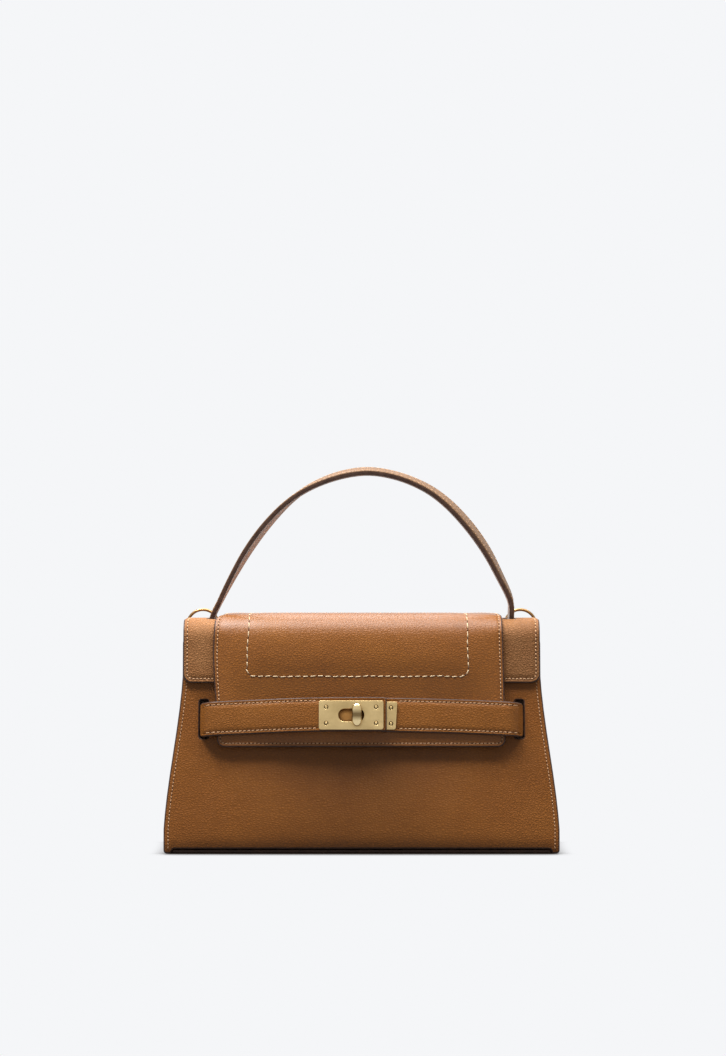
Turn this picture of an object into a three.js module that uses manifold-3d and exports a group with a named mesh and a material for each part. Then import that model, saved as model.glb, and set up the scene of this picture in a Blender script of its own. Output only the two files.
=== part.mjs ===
// A small leather flap bag: stiff panels, a folding handle, strap rings and a belt with a turn lock.
// Millimetres, +Z up. The front faces -Y and the origin is the middle of the base, on the ground.
import * as THREE from "three";
import { mergeVertices } from "three/addons/utils/BufferGeometryUtils.js";
import Module from "manifold-3d";

const wasm = await Module();
wasm.setup();

// Clearance between pieces that lie against each other.
const GAP = 0.3;

// Body. The front and back lean in towards the mouth by the same angle.
const BASE_WIDTH = 220.6;
const TOP_WIDTH = 200.6;
const FLARE_BOTTOM = 14;
const FLARE_TOP = 98;
const BASE_DEPTH = 82;
const TOP_DEPTH = 44;
const BODY_HEIGHT = 128;
const PANEL_THICKNESS = 2.2;
const PANEL_CORNER = 4.5;
const FOOT_LENGTH = 1;
const FOOT_CLEARANCE = 0.5;
const PANEL_RAISE = 3;
const BASE_THICKNESS = 2.4;
const SEAM_MARGIN = 3;
const GUSSET_THICKNESS = 1.6;
const GUSSET_DROP = 12;
const GUSSET_FOLD = 14;
const GUSSET_STEPS = 24;
const BOARD_THICKNESS = 1.8;
const BOARD_DROP = 14;
const LINING_THICKNESS = 0.9;
const LINING_EASE = 0.7;
const LINING_DROP = 11;
const POCKET_WIDTH = 120;
const POCKET_HEIGHT = 70;
const POCKET_THICKNESS = 0.9;
const POCKET_FLOOR = 22;
const YOKE_THICKNESS = 2.2;
const YOKE_HEIGHT = 36;
const MAGNET_RADIUS = 6;
const MAGNET_SPACING = 64;
const MAGNET_THICKNESS = 1.8;
const MAGNET_V = 70;

// Flap. V lengths run up the leaning front face from the ground line.
const WING_THICKNESS = 2;
const WING_WIDTH = 200;
const WING_V = 95.5;
const WING_CORNER = 5;
const FLAP_THICKNESS = 2.2;
const FLAP_WIDTH = 160;
const FLAP_V = 59.3;
const FLAP_CORNER = 4.5;
const FLAP_BEND = 9;
const FLAP_SET_BACK = 1;
const FLAP_LINING_MARGIN = 2;

// Belt and lock.
const BELT_WIDTH = 19.2;
const BELT_THICKNESS = 2;
const BELT_RISE = 1.9;
const SLOT_X = 88.2;
const SLOT_WIDTH = 5;
const SLOT_CORNER = 1.2;
const SLOT_V = 74.6;
const SLOT_ROOM_BELOW = 0.4;
const SLOT_ROOM_ABOVE = 1.9;
const BELT_TUCK = 1.9;
const BELT_LAP_START = 24;
const LEFT_BELT_END = 14;
const RIGHT_BELT_END = 10;
const PLATE_THICKNESS = 1;
const PLATE_CORNER = 1.2;
const LOCK_PLATE_X = -5.8;
const LOCK_PLATE_WIDTH = 36;
const LOCK_PLATE_HEIGHT = 16.2;
const LOCK_SLOT_LENGTH = 14.3;
const LOCK_SLOT_HEIGHT = 7.2;
const TONGUE_LEFT = -15.5;
const TONGUE_RIGHT = 20;
const TONGUE_HEIGHT = 15.6;
const RIVET_RADIUS = 1.1;
const RIVET_PROUD = 0.35;
const RIVET_SPREAD_X = 27.8;
const RIVET_SPREAD_V = 9;
const TONGUE_RIVET_INSET = 3.6;
const KNOB_X = -2.6;
const KNOB_HEIGHT = 13;
const KNOB_WIDTH = 4.9;
const KNOB_DEPTH = 4.6;
const KNOB_LIFT = 3.4;
const POST_RADIUS = 2;
const LOCK_BASE_LENGTH = 19;
const LOCK_BASE_HEIGHT = 10;
const LOCK_BASE_CORNER = 4.9;
const LOCK_BASE_THICKNESS = 1;
const WASHER_RADIUS = 6;

// Handle. The arch is its line above the flap from the left foot to the right one, as across and up.
const HANDLE_WIDTH = 15;
const HANDLE_PLY = 1.5;
const HANDLE_X = 84.7;
const HANDLE_TAIL = 5;
const HANDLE_SLOT_EASE = 0.8;
const HANDLE_SLOT_EASE_IN = 2.4;
const HANDLE_ARCH = [
  [-80, 140.3],
  [-72.3, 155.3],
  [-63.6, 170.1],
  [-52.8, 184.7],
  [-40.8, 197.1],
  [-29.2, 205.2],
  [-13.1, 211.7],
  [3.2, 214.2],
  [19.6, 211.7],
  [35.7, 205.2],
  [47.3, 197.1],
  [59.3, 184.7],
  [69.9, 170.1],
  [77.8, 155.3],
  [84.4, 140.3],
];
const HANDLE_LEAN = THREE.MathUtils.degToRad(8);
const HANDLE_FOLD = THREE.MathUtils.degToRad(32);
const HANDLE_TWIST = THREE.MathUtils.degToRad(10);
const HANDLE_STEPS = 44;
const TOGGLE_RADIUS = 1.25;
const TOGGLE_LENGTH = 13;

// Strap rings behind the handle's feet.
const RING_X = 91.4;
const RING_WIRE_RADIUS = 0.85;
const RING_WIDTH = 19.6;
const RING_SIDE = 9.4;
const RING_BAR_Z = 116;
const LOOP_WIDTH = 12;
const LOOP_PLY = 1.6;
const LOOP_TAIL = 20;

// Derived places.
const LEAN = Math.atan2((BASE_DEPTH - TOP_DEPTH) / 2, BODY_HEIGHT);
const FRONT = new THREE.Matrix4()
  .makeTranslation(0, -BASE_DEPTH / 2, 0)
  .multiply(new THREE.Matrix4().makeRotationX(Math.PI / 2 - LEAN));
const BACK = new THREE.Matrix4().makeRotationZ(Math.PI).multiply(FRONT);

// The sides stand upright at the foot and at the wings, and flare between.
const flareShare = (z) => THREE.MathUtils.clamp((z - FLARE_BOTTOM) / (FLARE_TOP - FLARE_BOTTOM), 0, 1);
const halfWidthAt = (z) => THREE.MathUtils.lerp(BASE_WIDTH, TOP_WIDTH, flareShare(z)) / 2;
// The half depth at height z of a face that lies w outside the front or back leather.
const faceDepth = (z, w) => BASE_DEPTH / 2 - (z * Math.sin(LEAN) - w) / Math.cos(LEAN);
const vAtHeight = (z, w) => (z - w * Math.sin(LEAN)) / Math.cos(LEAN);

const bendZ = BODY_HEIGHT - FLAP_BEND;
const panelTopV = vAtHeight(bendZ, 0);
const wingOuter = GAP + WING_THICKNESS;
const flapInner = wingOuter + GAP;
const flapOuter = flapInner + FLAP_THICKNESS;
const beltInner = flapOuter + GAP;
const tongueInner = beltInner + BELT_THICKNESS + GAP;
const lapInner = tongueInner + PLATE_THICKNESS + GAP;
const plateInner = lapInner + BELT_THICKNESS + GAP;
const plateOuter = plateInner + PLATE_THICKNESS;
const lockV = SLOT_V + BELT_RISE;
const hingeY = faceDepth(BODY_HEIGHT - GAP, GAP + YOKE_THICKNESS);
const toggleZ = BODY_HEIGHT - GAP - TOGGLE_RADIUS;

const leather = (color) => new THREE.MeshStandardMaterial({ color, roughness: 0.5, metalness: 0 });
const tan = leather(0x8a5a32);
const tanInside = leather(0x9a6b43);
const lining = new THREE.MeshStandardMaterial({ color: 0x6b5138, roughness: 0.9, metalness: 0 });
const board = new THREE.MeshStandardMaterial({ color: 0x8c8378, roughness: 0.95, metalness: 0 });
const brass = new THREE.MeshStandardMaterial({ color: 0xcbb283, roughness: 0.28, metalness: 1 });
const steel = new THREE.MeshStandardMaterial({ color: 0xa9adb0, roughness: 0.4, metalness: 1 });

// Closed solids for cutting and joining, and back again.
function solid(geometry) {
  const bare = new THREE.BufferGeometry();
  bare.setAttribute("position", geometry.getAttribute("position"));
  bare.setIndex(geometry.index);
  const merged = mergeVertices(bare, 1e-4);
  return new wasm.Manifold(
    new wasm.Mesh({
      numProp: 3,
      vertProperties: merged.attributes.position.array,
      triVerts: new Uint32Array(merged.index.array),
    }),
  );
}

function shaped(body) {
  const mesh = body.getMesh();
  const geometry = new THREE.BufferGeometry();
  geometry.setAttribute("position", new THREE.BufferAttribute(mesh.vertProperties, 3));
  geometry.setIndex(new THREE.BufferAttribute(mesh.triVerts, 1));
  geometry.computeVertexNormals();
  return geometry;
}

const cut = (geometry, ...tools) =>
  shaped(tools.reduce((body, tool) => body.subtract(solid(tool)), solid(geometry)));
const join = (geometry, ...more) =>
  shaped(more.reduce((body, other) => body.add(solid(other)), solid(geometry)));
const common = (geometry, other) => shaped(solid(geometry).intersect(solid(other)));

// A flat sheet of the given outline between two heights over the face it lies on.
function sheet(shape, w0, w1) {
  const geometry = new THREE.ExtrudeGeometry(shape, {
    depth: w1 - w0,
    bevelEnabled: false,
    curveSegments: 5,
  });
  return geometry.translate(0, 0, w0);
}

// A profile in Y and Z that runs across the bag from x0 to x1.
function acrossX(shape, x0, x1) {
  const axes = new THREE.Matrix4().makeBasis(
    new THREE.Vector3(0, 1, 0),
    new THREE.Vector3(0, 0, 1),
    new THREE.Vector3(1, 0, 0),
  );
  return sheet(shape, x0, x1).applyMatrix4(axes);
}

function box(x0, x1, y0, y1, z0, z1) {
  const geometry = new THREE.BoxGeometry(x1 - x0, y1 - y0, z1 - z0);
  return geometry.translate((x0 + x1) / 2, (y0 + y1) / 2, (z0 + z1) / 2);
}

// A round bar along W from w0 to w1 over a face.
function pin(x, v, radius, w0, w1, sides = 16) {
  const geometry = new THREE.CylinderGeometry(radius, radius, w1 - w0, sides);
  return geometry.rotateX(Math.PI / 2).translate(x, v, (w0 + w1) / 2);
}

function rod(x0, x1, y, z, radius, sides = 16) {
  const geometry = new THREE.CylinderGeometry(radius, radius, x1 - x0, sides);
  return geometry.rotateZ(Math.PI / 2).translate((x0 + x1) / 2, y, z);
}

function roundedRectangle(width, height, radius, x = 0, y = 0, target = new THREE.Shape()) {
  const right = x + width / 2;
  const top = y + height / 2;
  target.moveTo(right, y);
  target.absarc(right - radius, top - radius, radius, 0, Math.PI / 2);
  target.absarc(x - width / 2 + radius, top - radius, radius, Math.PI / 2, Math.PI);
  target.absarc(x - width / 2 + radius, y - height / 2 + radius, radius, Math.PI, Math.PI * 1.5);
  target.absarc(right - radius, y - height / 2 + radius, radius, Math.PI * 1.5, Math.PI * 2);
  target.closePath();
  return target;
}

function roundHole(x, y, radius) {
  const path = new THREE.Path();
  path.absarc(x, y, radius, 0, Math.PI * 2, true);
  return path;
}

// A skin over rings of equal point counts. The contour is a ring seen against the way it travels.
function skin(rings, contour, closed = false) {
  const count = contour.length;
  const positions = rings.flat().flatMap((p) => [p.x, p.y, p.z]);
  const index = [];
  const spans = closed ? rings.length : rings.length - 1;
  for (let i = 0; i < spans; i += 1) {
    const here = i * count;
    const there = ((i + 1) % rings.length) * count;
    for (let j = 0; j < count; j += 1) {
      const k = (j + 1) % count;
      index.push(here + j, here + k, there + k, here + j, there + k, there + j);
    }
  }
  if (!closed) {
    const last = (rings.length - 1) * count;
    for (const [a, b, c] of THREE.ShapeUtils.triangulateShape(contour, [])) {
      index.push(a, c, b, last + a, last + b, last + c);
    }
  }
  const geometry = new THREE.BufferGeometry();
  geometry.setAttribute("position", new THREE.Float32BufferAttribute(positions, 3));
  geometry.setIndex(index);
  geometry.computeVertexNormals();
  return geometry;
}

function piece(parent, name, geometry, material) {
  const mesh = new THREE.Mesh(geometry, material);
  mesh.name = name;
  parent.add(mesh);
  return mesh;
}

function framed(parent, matrix) {
  const group = new THREE.Group();
  group.applyMatrix4(matrix);
  parent.add(group);
  return group;
}

const bag = new THREE.Group();
const body = new THREE.Group();
const flap = new THREE.Group();
bag.add(body, flap);
const frontFace = framed(body, FRONT);
const backFace = framed(body, BACK);
const flapFace = framed(flap, FRONT);

// Front and back leather. The corners reach lower than the edge between them.
function panelShape(topV) {
  const low = BASE_WIDTH / 2;
  const high = halfWidthAt(topV * Math.cos(LEAN));
  const foot = low - PANEL_CORNER - FOOT_LENGTH;
  const shape = new THREE.Shape();
  const flareLowV = vAtHeight(FLARE_BOTTOM, 0);
  const flareHighV = vAtHeight(FLARE_TOP, 0);
  shape.moveTo(-high, topV);
  shape.lineTo(-high, flareHighV);
  shape.lineTo(-low, flareLowV);
  shape.lineTo(-low, FOOT_CLEARANCE + PANEL_CORNER);
  shape.quadraticCurveTo(-low, FOOT_CLEARANCE, -low + PANEL_CORNER, FOOT_CLEARANCE);
  shape.lineTo(-foot, FOOT_CLEARANCE);
  shape.lineTo(-foot + PANEL_RAISE, PANEL_RAISE);
  shape.lineTo(foot - PANEL_RAISE, PANEL_RAISE);
  shape.lineTo(foot, FOOT_CLEARANCE);
  shape.lineTo(low - PANEL_CORNER, FOOT_CLEARANCE);
  shape.quadraticCurveTo(low, FOOT_CLEARANCE, low, FOOT_CLEARANCE + PANEL_CORNER);
  shape.lineTo(low, flareLowV);
  shape.lineTo(high, flareHighV);
  shape.lineTo(high, topV);
  shape.closePath();
  return shape;
}

const frontShape = panelShape(panelTopV);
const slotBottom = SLOT_V - BELT_WIDTH / 2 - SLOT_ROOM_BELOW;
const slotTop = SLOT_V + BELT_WIDTH / 2 + SLOT_ROOM_ABOVE;
for (const side of [-1, 1]) {
  const middle = (slotBottom + slotTop) / 2;
  const slot = new THREE.Path();
  roundedRectangle(SLOT_WIDTH, slotTop - slotBottom, SLOT_CORNER, side * SLOT_X, middle, slot);
  frontShape.holes.push(slot);
}
piece(frontFace, "front_panel", sheet(frontShape, -PANEL_THICKNESS, 0), tan);
const backTopV = vAtHeight(BODY_HEIGHT - GAP, 0) - GAP;
piece(backFace, "back_panel", sheet(panelShape(backTopV), -PANEL_THICKNESS, 0), tan);

// Base between the panels, with a board over it.
const baseDepth = faceDepth(BASE_THICKNESS, -PANEL_THICKNESS) - GAP;
const baseWidth = BASE_WIDTH / 2 - SEAM_MARGIN;
piece(body, "base_panel", box(-baseWidth, baseWidth, -baseDepth, baseDepth, 0, BASE_THICKNESS), tan);

// Gussets run from panel to panel and fold inward towards the mouth.
const gussetBottom = BASE_THICKNESS + GAP;
const gussetTop = BODY_HEIGHT - GUSSET_DROP;
const foldAt = (z) => (GUSSET_FOLD * (z - gussetBottom)) / (gussetTop - gussetBottom);
const gussetDepth = (z) => faceDepth(z, -PANEL_THICKNESS) - GAP;
// The half width of the gusset's inside at height z and depth y.
const gussetInside = (z, y) =>
  halfWidthAt(z) - SEAM_MARGIN - GUSSET_THICKNESS - foldAt(z) * (1 - Math.abs(y) / gussetDepth(z));

const levels = (from, to) =>
  Array.from({ length: GUSSET_STEPS + 1 }, (_, i) => from + ((to - from) * i) / GUSSET_STEPS);

function gusset(side) {
  const ring = (z) => {
    const depth = gussetDepth(z);
    const inside = [-depth, 0, depth].map((y) => [gussetInside(z, y), y]);
    const outside = inside.map(([x, y]) => [x + GUSSET_THICKNESS, y]).reverse();
    const points = [...outside, ...inside].map(([x, y]) => new THREE.Vector3(side * x, y, z));
    return side > 0 ? points.reverse() : points;
  };
  const rings = levels(gussetBottom, gussetTop).map(ring);
  return skin(rings, rings.at(-1).map((p) => new THREE.Vector2(p.x, p.y)));
}
piece(body, "left_gusset", gusset(-1), tan);
piece(body, "right_gusset", gusset(1), tan);

// Boards stiffen the base, front and back between leather and lining.
const boardBottom = gussetBottom;
const boardTop = boardBottom + BOARD_THICKNESS;
const baseBoardDepth = faceDepth(boardTop, -PANEL_THICKNESS) - GAP;
const baseBoardWidth = gussetInside(boardTop, 0) - GAP;
const baseBoard = box(
  -baseBoardWidth,
  baseBoardWidth,
  -baseBoardDepth,
  baseBoardDepth,
  boardBottom,
  boardTop,
);
piece(body, "base_board", baseBoard, board);

const wallOuter = -PANEL_THICKNESS - GAP;
const wallInner = wallOuter - BOARD_THICKNESS;
function wallBoardShape() {
  const bottomZ = boardTop + GAP + BOARD_THICKNESS * Math.sin(LEAN);
  const topZ = BODY_HEIGHT - BOARD_DROP;
  const half = (z) => gussetInside(z, faceDepth(z, wallInner)) - GAP;
  const bottomV = vAtHeight(bottomZ, wallOuter);
  const topV = vAtHeight(topZ, wallInner);
  const rightSide = [
    [half(bottomZ), bottomV],
    [half(FLARE_BOTTOM), vAtHeight(FLARE_BOTTOM, wallInner)],
    [half(FLARE_TOP), vAtHeight(FLARE_TOP, wallInner)],
    [half(topZ), topV],
  ].map(([x, v]) => new THREE.Vector2(x, v));
  const leftSide = rightSide.map((p) => new THREE.Vector2(-p.x, p.y)).reverse();
  return new THREE.Shape([...rightSide, ...leftSide]);
}
const frontBoardShape = wallBoardShape();
const magnetPlaces = [-MAGNET_SPACING / 2, MAGNET_SPACING / 2];
for (const x of magnetPlaces) frontBoardShape.holes.push(roundHole(x, MAGNET_V, MAGNET_RADIUS + GAP));
piece(frontFace, "front_board", sheet(frontBoardShape, wallInner, wallOuter), board);
piece(backFace, "back_board", sheet(wallBoardShape(), wallInner, wallOuter), board);
magnetPlaces.forEach((x, i) => {
  const disc = pin(x, MAGNET_V, MAGNET_RADIUS, wallOuter - MAGNET_THICKNESS, wallOuter);
  piece(frontFace, `body_magnet_${["left", "right"][i]}`, disc, steel);
});

// Lining: one open bag inside the boards and gussets.
const liningBottom = boardTop + GAP;
const liningTop = BODY_HEIGHT - LINING_DROP;
function liningBlock(bottom, top, inset) {
  const ring = (z) => {
    const depth = faceDepth(z, wallInner) - GAP - inset;
    const level = Math.min(z, gussetTop);
    const edge = gussetInside(level, depth) - LINING_EASE - inset;
    const fold = gussetInside(level, 0) - LINING_EASE - inset;
    return [
      new THREE.Vector3(-edge, -depth, z),
      new THREE.Vector3(edge, -depth, z),
      new THREE.Vector3(fold, 0, z),
      new THREE.Vector3(edge, depth, z),
      new THREE.Vector3(-edge, depth, z),
      new THREE.Vector3(-fold, 0, z),
    ];
  };
  const rings = levels(bottom, top).map(ring);
  return skin(rings, rings[0].map((p) => new THREE.Vector2(p.x, p.y)));
}
const liningOuter = liningBlock(liningBottom, liningTop, 0);
const liningInner = liningBlock(liningBottom + LINING_THICKNESS, liningTop + 1, LINING_THICKNESS);
piece(body, "lining_bag", cut(liningOuter, liningInner), lining);

const pocketOuter = wallInner - GAP - LINING_THICKNESS - GAP;
const pocketShape = roundedRectangle(
  POCKET_WIDTH,
  POCKET_HEIGHT,
  4,
  0,
  POCKET_FLOOR + POCKET_HEIGHT / 2,
);
piece(backFace, "slip_pocket", sheet(pocketShape, pocketOuter - POCKET_THICKNESS, pocketOuter), lining);

// Back yoke, which the flap hinges from.
const yokeTopV = vAtHeight(BODY_HEIGHT - GAP, GAP + YOKE_THICKNESS);
const yokeShape = roundedRectangle(
  WING_WIDTH,
  YOKE_HEIGHT,
  WING_CORNER / 2,
  0,
  yokeTopV - YOKE_HEIGHT / 2,
);
const yokeOuter = GAP + YOKE_THICKNESS;
piece(backFace, "back_yoke", sheet(yokeShape, GAP, yokeOuter), tan);

// Flap leather: back along the top, round the bend and down the front to V = end.
const bendCentre = new THREE.Vector2(-faceDepth(bendZ, GAP - FLAP_BEND), bendZ);
const facePoint = (v, w) =>
  new THREE.Vector2(
    -BASE_DEPTH / 2 + v * Math.sin(LEAN) - w * Math.cos(LEAN),
    v * Math.cos(LEAN) + w * Math.sin(LEAN),
  );
function flapProfile(w0, w1, backY, end) {
  const shape = new THREE.Shape();
  const inner = FLAP_BEND + w0 - GAP;
  const outer = FLAP_BEND + w1 - GAP;
  const inEnd = facePoint(end, w0);
  const outEnd = facePoint(end, w1);
  shape.moveTo(backY, bendZ + outer);
  shape.absarc(bendCentre.x, bendCentre.y, outer, Math.PI / 2, Math.PI - LEAN, false);
  shape.lineTo(outEnd.x, outEnd.y);
  shape.lineTo(inEnd.x, inEnd.y);
  shape.absarc(bendCentre.x, bendCentre.y, inner, Math.PI - LEAN, Math.PI / 2, true);
  shape.lineTo(backY, bendZ + inner);
  shape.closePath();
  return shape;
}

// The outline of a flap seen square to its front, cut right through the bag.
function flapOutline(width, end, corner) {
  const reach = BODY_HEIGHT * 2;
  const shape = roundedRectangle(width, reach, corner, 0, end + reach / 2);
  return sheet(shape, -BASE_DEPTH, BASE_DEPTH).applyMatrix4(FRONT);
}

// Slots for the handle's ends are long enough for its whole fold.
const handleHalf = HANDLE_PLY + GAP / 2;
const slotRise = WING_THICKNESS + GAP + TOGGLE_RADIUS;
const handleSlot =
  HANDLE_WIDTH / 2 / Math.cos(HANDLE_FOLD) + slotRise * Math.tan(HANDLE_FOLD) + 2 * GAP;
const handleSlots = [-1, 1].map((side) =>
  box(
    side * HANDLE_X - handleHalf - (side < 0 ? HANDLE_SLOT_EASE : HANDLE_SLOT_EASE_IN),
    side * HANDLE_X + handleHalf + (side < 0 ? HANDLE_SLOT_EASE_IN : HANDLE_SLOT_EASE),
    -handleSlot,
    handleSlot,
    BODY_HEIGHT - FLAP_BEND / 2,
    BODY_HEIGHT + FLAP_BEND,
  ),
);
const wingProfile = flapProfile(GAP, wingOuter, hingeY, WING_V);
const wings = common(
  acrossX(wingProfile, -WING_WIDTH / 2, WING_WIDTH / 2),
  flapOutline(WING_WIDTH, WING_V, WING_CORNER),
);
piece(flap, "flap_wings", cut(wings, ...handleSlots), tan);

const coverProfile = flapProfile(flapInner, flapOuter, hingeY - FLAP_SET_BACK, FLAP_V);
const cover = common(
  acrossX(coverProfile, -FLAP_WIDTH / 2, FLAP_WIDTH / 2),
  flapOutline(FLAP_WIDTH, FLAP_V, FLAP_CORNER),
);
piece(flap, "flap_cover", cover, tan);

const liningLow = FLAP_V + FLAP_LINING_MARGIN;
const liningHigh = WING_V - GAP;
const flapLiningShape = roundedRectangle(
  FLAP_WIDTH - 2 * FLAP_LINING_MARGIN,
  liningHigh - liningLow,
  FLAP_CORNER - FLAP_LINING_MARGIN,
  0,
  (liningLow + liningHigh) / 2,
);
for (const x of magnetPlaces) flapLiningShape.holes.push(roundHole(x, MAGNET_V, MAGNET_RADIUS + GAP));
flapLiningShape.holes.push(roundHole(KNOB_X, lockV, WASHER_RADIUS + GAP));
piece(flapFace, "flap_lining", sheet(flapLiningShape, GAP, wingOuter), tanInside);
magnetPlaces.forEach((x, i) => {
  const disc = pin(x, MAGNET_V, MAGNET_RADIUS, wingOuter - MAGNET_THICKNESS, wingOuter);
  piece(flapFace, `flap_magnet_${["left", "right"][i]}`, disc, steel);
});
const washer = pin(KNOB_X, lockV, WASHER_RADIUS, GAP, wingOuter);
piece(flapFace, "lock_washer", washer, steel);

// A belt half: its inside line as points of X and W, rising towards the lock.
function belt(line) {
  const fine = line.flatMap(([x, w], i) => {
    if (i === 0) return [[x, w]];
    const [px, pw] = line[i - 1];
    const steps = Math.max(1, Math.round(Math.abs(x - px) / 9));
    return Array.from({ length: steps }, (_, s) => [
      px + ((x - px) * (s + 1)) / steps,
      pw + ((w - pw) * (s + 1)) / steps,
    ]);
  });
  const outside = fine.map(([x, w]) => [x, w + BELT_THICKNESS]).reverse();
  const shape = new THREE.Shape([...fine, ...outside].map(([x, w]) => new THREE.Vector2(x, w)));
  const axes = new THREE.Matrix4().makeBasis(
    new THREE.Vector3(1, 0, 0),
    new THREE.Vector3(0, 0, 1),
    new THREE.Vector3(0, -1, 0),
  );
  const geometry = sheet(shape, -SLOT_V - BELT_WIDTH / 2, -SLOT_V + BELT_WIDTH / 2).applyMatrix4(axes);
  const places = geometry.getAttribute("position");
  for (let i = 0; i < places.count; i += 1) {
    const share = Math.min(1, Math.abs(places.getX(i)) / SLOT_X);
    places.setY(i, places.getY(i) + BELT_RISE * (1 - share * share));
  }
  return geometry;
}

const tuckX = SLOT_X + SLOT_WIDTH / 2 - SLOT_CORNER;
const climbX = FLAP_WIDTH / 2 + GAP;
const leftLine = [
  [-tuckX, -BELT_TUCK],
  [-climbX, beltInner],
  [-climbX + 16, beltInner + GAP],
  [LOCK_PLATE_X - BELT_LAP_START, lapInner],
  [LEFT_BELT_END, lapInner],
];
const rightLine = [
  [RIGHT_BELT_END, beltInner],
  [climbX, beltInner],
  [tuckX, -BELT_TUCK],
];
const lockSlot = (grow) =>
  roundedRectangle(
    LOCK_SLOT_LENGTH + 2 * grow,
    LOCK_SLOT_HEIGHT + 2 * grow,
    LOCK_SLOT_HEIGHT / 2 + grow - 0.01,
    LOCK_PLATE_X,
    lockV,
    new THREE.Shape(),
  );
const beltWindow = sheet(lockSlot(GAP), lapInner - 1, plateInner + 1);
piece(flapFace, "left_belt", cut(belt(leftLine), beltWindow), tan);
piece(flapFace, "right_belt", belt(rightLine), tan);

// Brass of the lock.
const plateShape = roundedRectangle(
  LOCK_PLATE_WIDTH,
  LOCK_PLATE_HEIGHT,
  PLATE_CORNER,
  LOCK_PLATE_X,
  lockV,
);
plateShape.holes.push(lockSlot(0));
const sides = [-1, 1];
for (const sx of sides) {
  for (const sv of sides) {
    const x = LOCK_PLATE_X + (sx * RIVET_SPREAD_X) / 2;
    const v = lockV + (sv * RIVET_SPREAD_V) / 2;
    plateShape.holes.push(roundHole(x, v, RIVET_RADIUS + GAP));
    const name = `plate_rivet_${sv > 0 ? "upper" : "lower"}_${sx > 0 ? "right" : "left"}`;
    piece(flapFace, name, pin(x, v, RIVET_RADIUS, plateInner, plateOuter + RIVET_PROUD, 12), brass);
  }
}
piece(flapFace, "lock_plate", sheet(plateShape, plateInner, plateOuter), brass);

const tongueShape = roundedRectangle(
  TONGUE_RIGHT - TONGUE_LEFT,
  TONGUE_HEIGHT,
  PLATE_CORNER,
  (TONGUE_LEFT + TONGUE_RIGHT) / 2,
  lockV,
);
tongueShape.holes.push(lockSlot(0));
for (const sv of sides) {
  const x = TONGUE_RIGHT - TONGUE_RIVET_INSET;
  const v = lockV + (sv * RIVET_SPREAD_V) / 2;
  tongueShape.holes.push(roundHole(x, v, RIVET_RADIUS + GAP));
  const top = tongueInner + PLATE_THICKNESS + RIVET_PROUD;
  const rivet = pin(x, v, RIVET_RADIUS, tongueInner, top, 12);
  piece(flapFace, `tongue_rivet_${sv > 0 ? "upper" : "lower"}`, rivet, brass);
}
const tongue = sheet(tongueShape, tongueInner, tongueInner + PLATE_THICKNESS);
piece(flapFace, "belt_tongue", tongue, brass);

const lockBase = roundedRectangle(
  LOCK_BASE_LENGTH,
  LOCK_BASE_HEIGHT,
  LOCK_BASE_CORNER,
  LOCK_PLATE_X,
  lockV,
);
const post = join(
  sheet(lockBase, beltInner, beltInner + LOCK_BASE_THICKNESS),
  pin(KNOB_X, lockV, POST_RADIUS, beltInner, plateInner, 16),
);
piece(flapFace, "lock_post", post, brass);

// The knob is an upright bar over the plate, on a neck that stands on the post.
const knobW = plateOuter + KNOB_LIFT;
const bar = new THREE.CapsuleGeometry(KNOB_WIDTH / 2, KNOB_HEIGHT - KNOB_WIDTH, 5, 14);
bar.scale(1, 1, KNOB_DEPTH / KNOB_WIDTH).translate(KNOB_X, lockV, knobW);
const neck = pin(KNOB_X, lockV, POST_RADIUS, plateInner + GAP, knobW, 16);
const knob = framed(bag, FRONT);
piece(knob, "turn_knob", join(bar, neck), brass);

// Handle: two plies along one arch, turned on the toggle bars under the flap's top.
// Above its feet the strap leans a little to the right, more so on its right half.
const archFoot = [
  [HANDLE_X, toggleZ - HANDLE_TAIL],
  [HANDLE_X, BODY_HEIGHT + WING_THICKNESS],
];
const arch = new THREE.CatmullRomCurve3(
  [
    ...archFoot.map(([x, z]) => new THREE.Vector3(-x, 0, z)),
    ...HANDLE_ARCH.map(([x, z]) => new THREE.Vector3(x, 0, z)),
    ...archFoot.map(([x, z]) => new THREE.Vector3(x, 0, z)).reverse(),
  ],
  false,
  "centripetal",
);

function ply(inside, outside) {
  const section = [
    [inside, -HANDLE_WIDTH / 2],
    [outside, -HANDLE_WIDTH / 2],
    [outside, HANDLE_WIDTH / 2],
    [inside, HANDLE_WIDTH / 2],
  ];
  const rings = Array.from({ length: HANDLE_STEPS + 1 }, (_, i) => {
    const t = i / HANDLE_STEPS;
    const middle = arch.getPointAt(t);
    const along = arch.getTangentAt(t);
    const turn = -HANDLE_TWIST * Math.sin(2 * Math.PI * t) ** 2;
    const wide = new THREE.Vector3(0, 1, 0).applyAxisAngle(new THREE.Vector3(0, 0, 1), turn);
    const out = wide.clone().cross(along).normalize().negate();
    wide.crossVectors(along, out).normalize();
    return section.map(([n, b]) => middle.clone().addScaledVector(out, n).addScaledVector(wide, b));
  });
  return skin(rings, section.map(([n, b]) => new THREE.Vector2(n, b)));
}

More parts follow.
